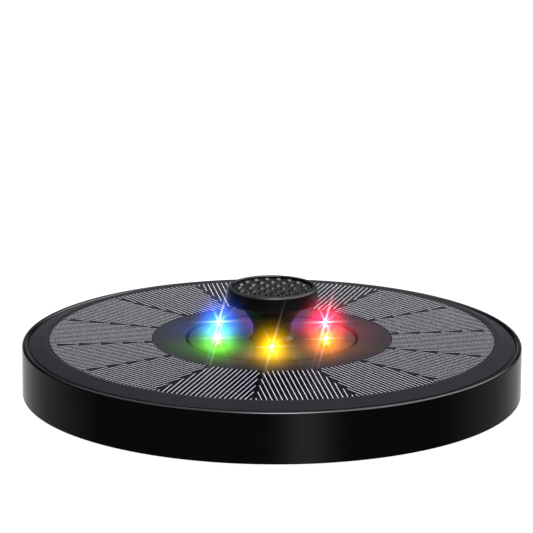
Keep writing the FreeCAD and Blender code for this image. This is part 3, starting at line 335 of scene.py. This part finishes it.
def slate_mask():
    """Satin slate lacquer on the solar board, black under the cells so that the seams read as lines, with the
    lamps' light painted on it as a coloured glow.
    """
    s = Shader("slate_lacquer")
    low, high = cell_radii()
    r = s.radius()
    beyond_inner = s.math("GREATER_THAN", r, low + SEAM_INSET)
    within_outer = s.math("LESS_THAN", r, high - SEAM_INSET)
    inside = s.math("MULTIPLY", beyond_inner, within_outer)
    cloud = s.noise(16 * MM, detail=4)
    weave = s.noise(0.28 * MM, detail=2)
    slate = slate_colour(s, cloud, weave)
    s.set(Base_Color=s.mix(inside, slate, (0.006, 0.006, 0.008)))
    s.set(Roughness=s.spread(cloud, 0.42, 0.55), Specular_IOR_Level=0.0)
    s.set(Normal=s.bump(weave, 0.004 * MM))
    # Painted light: the lamps' coloured glow on the slate, as emission.
    s.set(Emission_Color=painted_glow(s, *SLATE_PAINTED_GLOW), Emission_Strength=1.0)
    return s


def silicon():
    """Blue-black cell under its anti-reflection film, with a fine texture etched in."""
    s = Shader("silicon")
    grain = s.noise(0.5 * MM, detail=3)
    drift = s.noise(18 * MM, detail=3)
    base = s.mix(s.spread(drift), (0.0030, 0.0026, 0.0068), (0.0052, 0.0044, 0.0108))
    base = s.mix(s.ramp(grain, 0.45, 0.75, 0.0, 0.5), base, (0.010, 0.009, 0.018))
    s.set(Base_Color=base, Roughness=s.spread(grain, 0.24, 0.34), IOR=1.5, Specular_IOR_Level=0.0)
    s.set(Normal=s.bump(grain, 0.002 * MM))
    return s


def silver_paste():
    """Screen-printed silver: pale, almost matt, with ragged thickness."""
    s = Shader("silver_paste")
    grain = s.noise(0.16 * MM, detail=3)
    base = s.mix(s.spread(grain), (0.70, 0.70, 0.77), (0.88, 0.88, 0.97))
    s.set(Base_Color=base, Roughness=s.spread(grain, 0.45, 0.6), Specular_IOR_Level=0.0)
    s.set(Normal=s.bump(grain, 0.012 * MM))
    return s


def clear_sheet():
    """Clear sheet with a slate border printed on it. Where it is clear only its reflection shows, so there
    its alpha is its Fresnel reflectance."""
    s = Shader("clear_sheet")
    smear = s.noise(22 * MM, detail=3)
    cloud, weave = s.noise(16 * MM, detail=4), s.noise(0.28 * MM, detail=2)
    normal = s.bump(s.noise(0.9 * MM, detail=2), 0.002 * MM)
    border = s.math("GREATER_THAN", s.radius(), cell_radii()[1] + BORDER_START)
    mirror = s.math("MULTIPLY", s.add("Fresnel", {"IOR": 1.36, "Normal": normal}).outputs[0], s.facing_up())
    haze = s.ramp(smear, 0.4, 0.75, 0.0, 0.004)
    clear = s.math("MULTIPLY", s.math("ADD", mirror, haze), s.front_side())
    slate = s.mix(1.0, slate_colour(s, cloud, weave), (0.85, 0.85, 0.85), "MULTIPLY")
    s.set(Base_Color=s.mix(border, (0.9, 0.9, 0.94), slate), Metallic=s.invert(border))
    rough = s.math("ADD", s.ramp(smear, 0.35, 0.7, 0.06, 0.09), s.math("MULTIPLY", border, 0.4))
    s.set(Roughness=rough, IOR=1.36, Specular_IOR_Level=0.04, Normal=normal)
    s.set(Alpha=s.math("MAXIMUM", clear, border, clamp=True))
    return s


def milky_lens():
    """Frosted diffuser: grey by itself, with the light that spreads round each lamp painted on as a coloured
    emission.
    """
    s = Shader("milky_lens")
    frost = s.noise(0.5 * MM, detail=3)
    cloud = s.noise(9 * MM, detail=3)
    base = s.mix(s.spread(cloud), (0.012, 0.012, 0.014), (0.020, 0.020, 0.023))
    s.set(Base_Color=base, Roughness=s.spread(frost, 0.12, 0.17), Specular_IOR_Level=s.facing_up(0.5))
    # Painted light: the lamps' glow in the lens, as emission.
    s.set(Normal=s.bump(frost, 0.001 * MM), Emission_Color=painted_glow(s, *LENS_PAINTED_GLOW), Emission_Strength=1.0)
    return s


def clear_epoxy(name):
    """The clear body of a lamp, lightly tinted by its own light."""
    s = Shader("epoxy_" + name)
    ripple = s.noise(1.4 * MM, detail=1)
    tint = tuple(0.55 + 0.45 * min(c, 1.0) for c in LAMP_GLOW[name])
    s.set(Base_Color=tint, Transmission_Weight=1.0, IOR=1.4, Roughness=s.spread(ripple, 0.04, 0.10))
    s.set(Emission_Color=LAMP_GLOW[name], Emission_Strength=0.12, Normal=s.bump(ripple, 0.01 * MM))
    return s


def lamp_core(name):
    """The lit crystal and its reflector, hottest in the middle."""
    s = Shader("core_" + name)
    facing = s.add("LayerWeight", {"Blend": 0.5}).outputs["Facing"]
    heat = s.ramp(facing, 0.3, 0.0, 5.0, LAMP_POWER, smooth=True)
    flicker = s.spread(s.noise(0.3 * MM), 0.9, 1.1)
    s.set(Base_Color=(0.5, 0.5, 0.5), Roughness=0.3)
    s.set(Emission_Color=LAMP_GLOW[name], Emission_Strength=s.math("MULTIPLY", heat, flicker))
    return s


def rubber():
    """Soft black rubber with a pale bloom here and there."""
    s = Shader("rubber")
    fine = s.noise(0.25 * MM, detail=3)
    bloom = s.noise(5 * MM, detail=4)
    base = s.mix(s.ramp(bloom, 0.4, 0.75), (0.012, 0.012, 0.012), (0.035, 0.034, 0.033))
    s.set(Base_Color=base, Roughness=s.spread(fine, 0.62, 0.8), Normal=s.bump(fine, 0.01 * MM))
    return s


def metal(name, colour, roughness, brushed=(1, 1, 14), size=0.5 * MM):
    """Metal with drawn or ground lines along one axis and a little staining."""
    s = Shader(name)
    lines = s.noise(size, detail=4, stretch=brushed)
    patch = s.noise(4 * MM, detail=4)
    base = s.mix(s.spread(lines), tuple(0.86 * c for c in colour), colour)
    stained = tuple(a * b * 2 for a, b in zip(colour, (0.3, 0.28, 0.25)))
    base = s.mix(s.ramp(patch, 0.55, 0.8, 0.0, 0.35), base, stained)
    s.set(Base_Color=base, Metallic=1.0, Roughness=s.spread(lines, roughness - 0.08, roughness + 0.08))
    s.set(Normal=s.bump(lines, 0.004 * MM))
    return s


def circuit_board(name, colour):
    """Solder mask with faint tracks under it and a woven core."""
    s = Shader(name)
    weave = s.math("MULTIPLY", s.waves(420.0, 0.6), s.waves(420.0, 0.6, "Y"))
    weave = s.math("MULTIPLY", weave, 0.2)
    tracks = s.invert(s.ramp(s.cells(2.6 * MM, "DISTANCE_TO_EDGE", 0.6), 0.05, 0.075))
    light = tuple(min(1, 1.5 * c + 0.02) for c in colour)
    base = s.mix(s.math("MULTIPLY", tracks, 0.7), colour, light)
    s.set(Base_Color=s.mix(weave, base, light), Roughness=0.38)
    s.set(Normal=s.bump(s.math("ADD", tracks, weave), 0.02 * MM))
    return s


def pouch_foil():
    """Crinkled laminated foil."""
    s = Shader("pouch_foil")
    crease = s.cells(7 * MM, "DISTANCE_TO_EDGE")
    fine = s.noise(1.6 * MM, detail=5, roughness=0.65)
    base = s.mix(s.spread(fine), (0.42, 0.43, 0.45), (0.56, 0.57, 0.59))
    s.set(Base_Color=base, Metallic=0.85, Roughness=s.spread(fine, 0.3, 0.45))
    s.set(Normal=s.bump(s.math("ADD", s.ramp(crease, 0.0, 0.12), fine), 0.12 * MM))
    return s


def copper_coil():
    """Enamelled copper wound in close turns across the bobbin."""
    s = Shader("copper_coil")
    turns = s.waves(900.0, 0.4, "Y")
    s.set(Base_Color=s.mix(turns, (0.28, 0.07, 0.025), (0.72, 0.27, 0.10)), Metallic=1.0, Roughness=0.3)
    s.set(Normal=s.bump(turns, 0.06 * MM))
    return s


def insulation(name, colour):
    """Coloured sleeve of a wire."""
    s = Shader(name)
    fine = s.noise(0.3 * MM, detail=2)
    dull = s.noise(6 * MM)
    base = s.mix(s.ramp(dull, 0.35, 0.7, 0.0, 0.5), colour, tuple(0.6 * c + 0.01 for c in colour))
    s.set(Base_Color=base, Roughness=s.spread(fine, 0.36, 0.5), Normal=s.bump(fine, 0.01 * MM))
    return s


def ceramic():
    """Polished white ceramic with faint rings from grinding."""
    s = Shader("ceramic")
    rings = s.noise(0.3 * MM, detail=3, stretch=(1, 1, 12))
    s.set(Base_Color=s.mix(s.spread(rings), (0.80, 0.79, 0.74), (0.88, 0.87, 0.83)), Roughness=0.16)
    s.set(Normal=s.bump(rings, 0.002 * MM))
    return s


def foam_skin():
    """Open-cell charcoal foam: the pores are shapes in the mesh, and this adds the smaller ones as bumps and
    as painted shade.
    """
    s = Shader("foam_skin")
    pores = s.cells(0.8 * MM)
    # Painted shade: darker away from the middle of each small cell, for the shade in the smaller pores.
    shade = s.ramp(pores, 0.1, 0.6)
    s.set(Base_Color=s.mix(shade, (0.045, 0.045, 0.048), (0.008, 0.008, 0.009)), Roughness=0.95)
    s.set(Normal=s.bump(shade, 0.3 * MM), Sheen_Weight=0.15)
    return s


# ---------------------------------------------------------------- mesh helpers


def islands(obj):
    """Lists of vertex positions and polygon indices, one pair for each separate solid of a node."""
    mesh = obj.data
    parent = list(range(len(mesh.vertices)))

    def root(i):
        while parent[i] != i:
            parent[i] = parent[parent[i]]
            i = parent[i]
        return i

    welded = {}
    for v in mesh.vertices:
        key = tuple(round(c * 1e6) for c in v.co)
        parent[v.index] = welded.setdefault(key, v.index)
    for edge in mesh.edges:
        a, b = (root(i) for i in edge.vertices)
        parent[a] = b
    groups = {}
    for polygon in mesh.polygons:
        groups.setdefault(root(polygon.vertices[0]), []).append(polygon.index)
    found = []
    for polygons in groups.values():
        corners = {i for p in polygons for i in mesh.polygons[p].vertices}
        found.append(([mesh.vertices[i].co.copy() for i in corners], polygons))
    return found


def in_scene(name, data):
    """A new object linked to the scene."""
    obj = bpy.data.objects.new(name, data)
    bpy.context.scene.collection.objects.link(obj)
    return obj


def new_piece(name, bm, body, shader, smooth=True):
    """A visible piece made from a finished bmesh, riding on a body."""
    mesh = bpy.data.meshes.new(name)
    bm.to_mesh(mesh)
    bm.free()
    for polygon in mesh.polygons:
        polygon.use_smooth = smooth
    obj = in_scene(name, mesh)
    mesh.materials.append(shader.material)
    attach(obj, body)
    return obj


def paint(node, shader):
    """Puts one material in every slot of a CAD node."""
    for slot in NODES[node].material_slots:
        slot.material = shader.material


def strip(bm, start, end, across, width, low, high):
    """A flat bar with chamfered long edges between two points."""
    side = across * (width / 2)
    chamfer = min(width, high - low) * 0.3
    lower, upper = Vector((0, 0, low)), Vector((0, 0, high))
    shoulder, crown = upper - Vector((0, 0, chamfer)), side * 0.8
    section = [
        lower - side,
        lower + side,
        shoulder + side,
        upper + crown,
        upper - crown,
        shoulder - side,
    ]
    ends = [[bm.verts.new(Vector((p.x, p.y, 0)) + s) for s in section] for p in (start, end)]
    count = len(section)
    for i in range(count):
        j = (i + 1) % count
        bm.faces.new((ends[0][i], ends[0][j], ends[1][j], ends[1][i]))
    bm.faces.new(list(reversed(ends[0])))
    bm.faces.new(ends[1])


# ---------------------------------------------------------------- pieces


def cell_radii():
    """Inner and outer radius of the ring of cells."""
    radii = [v.co.xy.length for v in NODES["solar_cells"].data.vertices]
    return min(radii), max(radii)


def add_fingers():
    """The silver grid of every cell: lines parallel to its middle, printed on top."""
    low, high = cell_radii()
    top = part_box("solar_cells")[1].z
    bm = bmesh.new()
    for corners, _ in islands(NODES["solar_cells"]):
        middle = sum((c.xy for c in corners), Vector((0, 0))) / len(corners)
        along = middle.normalized()
        across = Vector((-along.y, along.x))
        sides = [(abs(c.xy.dot(across)), c.xy.dot(along)) for c in corners]
        widest = max(sides)
        narrow = max(s for s in sides if math.hypot(*s) < (low + high) / 2)
        slope = (widest[0] - narrow[0]) / (widest[1] - narrow[1])
        reach = widest[0] - FINGER_EDGE
        count = int(reach / FINGER_PITCH - 0.5)
        for k in range(-count - 1, count + 1):
            offset = (k + 0.5) * FINGER_PITCH
            inner = math.sqrt((low + FINGER_EDGE) ** 2 - min(offset**2, low**2))
            side = widest[1] - (widest[0] - abs(offset) - FINGER_EDGE) / slope
            start = max(inner, side)
            end = math.sqrt((high - FINGER_EDGE) ** 2 - offset**2)
            if end - start < SHORTEST_FINGER:
                continue
            ends = [along * d + across * offset for d in (start, end)]
            strip(bm, ends[0], ends[1], across.to_3d(), FINGER_WIDTH, top, top + FINGER_THICK)
    new_piece("cell_fingers", bm, "float", silver_paste(), smooth=False)


def add_lamp_cores():
    """A small lit reflector inside each lamp: a cup with a rounded top."""
    for name, place in lamp_places().items():
        middle = place.z + LAMP_CORE_HEIGHT
        turns = [math.radians(t) for t in range(-50, 90, 14)]
        outline = LAMP_CORE_FOOT + [(math.cos(t), math.sin(t)) for t in turns]
        bm = bmesh.new()
        loops = []
        for r, z in outline:
            ring = []
            for k in range(LAMP_CORE_STEPS):
                turn = 2 * math.pi * k / LAMP_CORE_STEPS
                x = place.x + LAMP_CORE_R * r * math.cos(turn)
                y = place.y + LAMP_CORE_R * r * math.sin(turn)
                ring.append(bm.verts.new((x, y, middle + LAMP_CORE_R * z)))
            loops.append(ring)
        for lower, upper in zip(loops, loops[1:]):
            for k in range(LAMP_CORE_STEPS):
                n = (k + 1) % LAMP_CORE_STEPS
                bm.faces.new((lower[k], lower[n], upper[n], upper[k]))
        bm.faces.new(list(reversed(loops[0])))
        bm.faces.new(loops[-1])
        core = new_piece("lamp_core_" + name, bm, "float", lamp_core(name))
        core.visible_glossy = NODES["led_" + name].visible_glossy = False


def add_foam():
    """The sponge with open pores, kept inside its solid."""
    obj = in_scene("filter_foam", NODES["filter_sponge"].data.copy())
    remesh = obj.modifiers.new("remesh", "REMESH")
    remesh.mode = "VOXEL"
    remesh.voxel_size = FOAM_VOXEL * 1
    evaluated = obj.evaluated_get(bpy.context.evaluated_depsgraph_get())
    dense = bpy.data.meshes.new_from_object(evaluated)
    obj.modifiers.clear()
    obj.data = dense
    normals = [v.normal.copy() for v in dense.vertices]
    for vertex, normal in zip(dense.vertices, normals):
        pore = value_noise.cell(vertex.co / FOAM_PORE)
        lump = value_noise.noise(vertex.co / FOAM_LUMP)
        vertex.co -= normal * (FOAM_INSET + FOAM_PORE_DEPTH * pore + FOAM_LUMP_DEPTH * max(0.0, lump))
    dense.materials.clear()
    dense.materials.append(foam_skin().material)
    for polygon in dense.polygons:
        polygon.use_smooth = True
    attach(obj, "strainer")
    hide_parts("filter_sponge")


def paint_wires():
    """One wire of each pair is red and the other black."""
    red = insulation("wire_red", (0.42, 0.012, 0.01)).material
    black = insulation("wire_black", (0.012, 0.012, 0.012)).material
    for node in ("battery_wires", "led_wires", "panel_wires", "pump_wires"):
        mesh = NODES[node].data
        mesh.materials.clear()
        for material in (red, black):
            mesh.materials.append(material)
        for index, (_, polygons) in enumerate(islands(NODES[node])):
            for p in polygons:
                mesh.polygons[p].material_index = index % 2


def paint_all():
    """Every CAD node gets its own material, apart from the wires and the sponge."""
    black = (0.0055, 0.0055, 0.006)
    fine = {"grain": 0.3 * MM, "depth": 0.003 * MM}
    nozzle = moulded("nozzle_black", (0.0014, 0.0014, 0.0017), 0.34, wear=0.1, tint=0.15, **fine)
    nozzle.set(Specular_IOR_Level=0.3)
    frame_black = moulded("moulded_black", black, 0.42)
    plate = moulded("plate_black", (0.0026, 0.0026, 0.003), 0.4, grain=0.3 * MM, tint=0.2)
    strainer = moulded("strainer_black", (0.009, 0.009, 0.0098), 0.46, grain=0.5 * MM, depth=0.012 * MM)
    button = moulded("button_rubber", (0.022, 0.022, 0.024), 0.6, grain=0.3 * MM, depth=0.008 * MM)
    soft = rubber()
    steel = metal("screw_steel", (0.62, 0.61, 0.59), 0.28)
    tin = metal("tinned", (0.75, 0.75, 0.74), 0.32, brushed=(6, 1, 1))
    green = circuit_board("board_green", (0.008, 0.075, 0.028))
    chips = moulded("chip_epoxy", (0.012, 0.012, 0.013), 0.5, grain=0.12 * MM, depth=0.004 * MM, wear=0)
    nylon = moulded("nylon", (0.62, 0.60, 0.52), 0.4, grain=0.4 * MM, wear=0, tint=0.05)
    painted = {
        "base_shell": gloss_shell(),
        "panel_carrier": frame_black,
        "pump_body": frame_black,
        "outlet_riser": frame_black,
        "intake_cover": frame_black,
        "potting_compound": moulded("potting_resin", black, 0.22, grain=2.5 * MM, depth=0.03 * MM, wear=0),
        "solar_backboard": slate_mask(),
        "solar_cells": silicon(),
        "cell_links": tin,
        "panel_cover": clear_sheet(),
        "led_lens": milky_lens(),
        "led_board": circuit_board("board_white", (0.62, 0.62, 0.60)),
        "main_board": green,
        "motor_driver_board": green,
        "board_chips": chips,
        "driver_chips": chips,
        "board_inductor": chips,
        "mode_switch": chips,
        "board_capacitor": metal("can_aluminium", (0.78, 0.78, 0.80), 0.25),
        "board_connectors": nylon,
        "coil_bobbin": nylon,
        "switch_plunger": nylon,
        "battery_pack": pouch_foil(),
        "battery_clamp": metal("clamp_zinc", (0.60, 0.60, 0.62), 0.36, brushed=(1, 8, 1)),
        "stator_core": metal("core_iron", (0.30, 0.30, 0.31), 0.4, brushed=(1, 1, 30)),
        "stator_coil": copper_coil(),
        "impeller": moulded("impeller_grey", (0.05, 0.05, 0.056), 0.38, wear=0.1),
        "rotor_magnet": metal("ferrite", (0.10, 0.10, 0.105), 0.55, brushed=(1, 1, 1), size=0.3 * MM),
        "rotor_shaft": ceramic(),
        "strainer_cover": strainer,
        "nozzle_stem": nozzle,
        "spray_head": nozzle,
        "spray_plate": plate,
        "mode_button": button,
    }
    seals = ("rim_gasket", "lens_gasket", "button_oring", "cable_grommet", "pump_gasket", "riser_seals")
    painted.update(dict.fromkeys(seals + ("upper_shaft_bush", "lower_shaft_bush", "battery_pads"), soft))
    screws = ("deck_screws", "led_board_screws", "board_screws", "pump_screws", "clamp_screws")
    painted.update(dict.fromkeys(screws, steel))
    for name in LAMP_NAMES:
        painted["led_" + name] = clear_epoxy(name)
    for node, shader in painted.items():
        paint(node, shader)


# ---------------------------------------------------------------- studio


def add_floor():
    """White floor. Reflections miss it, so that the dark sides stay dark, and it is see-through from below."""
    mesh = bpy.data.meshes.new("floor")
    z = CAD_BOX[0].z - FLOOR_GAP
    corners = [(x * FLOOR_REACH, y * FLOOR_REACH, z) for x, y in ((-1, -1), (1, -1), (1, 1), (-1, 1))]
    mesh.from_pydata(corners, [], [(0, 1, 2, 3)])
    floor = in_scene("floor", mesh)
    s = Shader("pale_floor")
    fleck = s.noise(60 * MM, detail=2)
    s.set(Base_Color=s.mix(fleck, (0.13, 0.13, 0.13), (0.15, 0.15, 0.15)))
    s.set(Roughness=0.9, Specular_IOR_Level=0.0)
    s.set(Emission_Color=(1, 1, 1), Emission_Strength=1.0, Alpha=s.front_side())
    mesh.materials.append(s.material)
    floor.visible_glossy = False


def add_world():
    """White for the camera. Reflections see a dark room, whose far side is pale below the horizon and whose
    ceiling is bright. The room turns with the camera."""
    world = bpy.data.worlds.new("studio")
    world.use_nodes = True
    bpy.context.scene.world = world
    n = Nodes(world.node_tree)

    def fade(value, low, high, start=0.0, end=1.0):
        return n.ramp(value, low, high, start, end, smooth=True)

    def bell(value, middle, width):
        offset = n.math("DIVIDE", n.math("SUBTRACT", value, middle), width)
        return n.math("EXPONENT", n.math("MULTIPLY", n.math("MULTIPLY", offset, offset), -1.0))

    def choose(factor, a, b):
        return n.add("Mix", {0: factor, 2: a, 3: b}, data_type="FLOAT").outputs[0]

    way = n.add("TexCoord").outputs["Generated"]
    to_camera = {"vector_type": "VECTOR", "convert_from": "WORLD", "convert_to": "CAMERA"}
    turned = n.add("VectorTransform", {0: way}, **to_camera).outputs[0]
    seen = n.add("SeparateXYZ", {0: turned})
    away, right = seen.outputs["Z"], seen.outputs["X"]
    rise = n.add("SeparateXYZ", {0: way}).outputs["Z"]

    # Brightness below the horizon, by the part of the direction that runs away from the camera.
    ramp = n.add("ValToRGB", {0: away})
    elements = ramp.color_ramp.elements
    while len(elements) < len(FAR_SIDE):
        elements.new(0.5)
    for element, (position, value) in zip(elements, FAR_SIDE):
        element.position = position
        element.color = (value, value, value * 1.03, 1)
    # A soft upright window behind the camera's right shoulder.
    behind = fade(away, -0.5, -0.75, 0.0, WINDOW_LIGHT)
    window = n.math("MULTIPLY", bell(right, WINDOW_AT, WINDOW_WIDTH), behind)
    below = n.math("ADD", ramp.outputs[0], window)
    # The ceiling, with a bright panel over the camera and another at its right.
    front = n.math("MULTIPLY", fade(away, 0.1, -0.1, 0.0, CEILING_FRONT), fade(rise, 0.96, 0.88))
    front = n.math("MULTIPLY", bell(right, 0.10, 0.24), front)
    side = n.math("MULTIPLY", bell(right, 0.75, 0.25), fade(rise, 0.2, 0.5, 0.0, CEILING_SIDE))
    ceiling = n.math("MULTIPLY", n.math("ADD", CEILING_LIGHT, front), fade(rise, 0.45, 0.75))
    far_wall = n.math("ADD", fade(away, 0.854, 0.878, 0.02, 0.26), fade(away, 0.88, 1.0, 0.0, 0.45))
    above = n.math("ADD", far_wall, n.math("ADD", ceiling, side))
    room = choose(fade(rise, -0.06, 0.08), below, above)

    path = n.add("LightPath")
    plain = choose(path.outputs["Is Camera Ray"], PLAIN_LIGHT, 1.0)
    chosen = choose(path.outputs["Is Glossy Ray"], plain, room)
    background = n.add("Background", {"Color": (1, 1, 1), "Strength": chosen})
    n.add("OutputWorld", {"Surface": background.outputs[0]})


def add_softbox():
    """A large soft light overhead, aimed at the origin and unseen in reflections."""
    light = bpy.data.lights.new("softbox", "AREA")
    light.shape = "RECTANGLE"
    light.size, light.size_y = SOFTBOX_SIZE
    light.energy = SOFTBOX_WATTS
    obj = in_scene("softbox", light)
    obj.location = SOFTBOX_PLACE
    aim = Vector((0, 0, 0)) - Vector(SOFTBOX_PLACE)
    obj.rotation_euler = aim.to_track_quat("-Z", "Y").to_euler()
    obj.visible_camera = obj.visible_glossy = False


def add_lamp_light():
    """A little coloured light thrown by each lamp on to the nozzle and the deck."""
    for name, place in lamp_places().items():
        light = bpy.data.lights.new("throw_" + name, "POINT")
        light.color = LAMP_GLOW[name]
        light.energy = THROW_WATTS
        light.shadow_soft_size = THROW_SOFTNESS
        obj = in_scene("throw_" + name, light)
        obj.location = place + Vector((0, 0, THROW_HEIGHT))
        obj.visible_camera = obj.visible_glossy = False


def add_camera():
    """The camera looks at the front from a little above. Its aim is raised and turned a little to the left."""
    camera = bpy.data.cameras.new("camera")
    camera.lens = CAMERA_LENS
    camera.sensor_width = SENSOR
    camera.clip_start, camera.clip_end = 0.05, 50
    obj = in_scene("camera", camera)
    rise = math.radians(CAMERA_ELEVATION)
    centre = Vector((0, 0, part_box("base_shell")[1].z + CAMERA_AIM))
    back = Vector((0, -math.cos(rise), math.sin(rise)))
    up = Vector((0, math.sin(rise), math.cos(rise)))
    obj.location = centre + back * CAMERA_DISTANCE
    aim = centre + up * CAMERA_DISTANCE * math.tan(math.radians(CAMERA_TILT_UP))
    aim -= Vector((1, 0, 0)) * CAMERA_DISTANCE * math.tan(math.radians(CAMERA_YAW_LEFT))
    look = (aim - obj.location).to_track_quat("-Z", "Y").to_matrix()
    roll = Matrix.Rotation(math.radians(CAMERA_ROLL), 3, "Z")
    obj.rotation_euler = (look @ roll).to_euler()
    bpy.context.scene.camera = obj


def add_glare():
    """The bloom and the star rays that a camera shows round lit lamps."""
    scene = bpy.context.scene
    scene.use_nodes = True
    tree = scene.node_tree
    tree.nodes.clear()

    def blend(operation, a, b):
        made = tree.nodes.new("CompositorNodeMixRGB")
        made.blend_type = operation
        made.inputs[0].default_value = 1.0
        for socket, value in ((made.inputs[1], a), (made.inputs[2], b)):
            if isinstance(value, bpy.types.NodeSocket):
                tree.links.new(value, socket)
            else:
                socket.default_value = (value, value, value, 1)
        return made.outputs[0]

    picture = tree.nodes.new("CompositorNodeRLayers").outputs["Image"]
    hot = blend("LIGHTEN", blend("SUBTRACT", picture, BLOOM_FLOOR), 0.0)
    image = picture
    for radius, strength in BLOOM:
        blur = tree.nodes.new("CompositorNodeBlur")
        blur.filter_type = "GAUSS"
        blur.size_x = blur.size_y = radius
        tree.links.new(hot, blur.inputs["Image"])
        image = blend("ADD", image, blend("MULTIPLY", blur.outputs["Image"], strength))
    for angle, strength, iterations, fade in STAR_RAYS:
        rays = tree.nodes.new("CompositorNodeGlare")
        rays.glare_type, rays.quality = "STREAKS", "HIGH"
        tree.links.new(picture, rays.inputs["Image"])
        values = {
            "Threshold": STAR_THRESHOLD,
            "Strength": strength,
            "Streaks": 2,
            "Streaks Angle": math.radians(angle),
            "Iterations": iterations,
            "Fade": fade,
            "Color Modulation": 0.0,
            "Saturation": 0.6,
        }
        for key, value in values.items():
            rays.inputs[key].default_value = value
        image = blend("ADD", image, rays.outputs["Glare"])
    output = tree.nodes.new("CompositorNodeComposite")
    tree.links.new(image, output.inputs["Image"])


def main():
    paint_all()
    paint_wires()
    add_fingers()
    add_lamp_cores()
    add_foam()
    add_floor()
    add_world()
    add_softbox()
    add_lamp_light()
    add_camera()
    add_glare()
    bpy.context.scene.view_settings.view_transform = "Standard"


main()
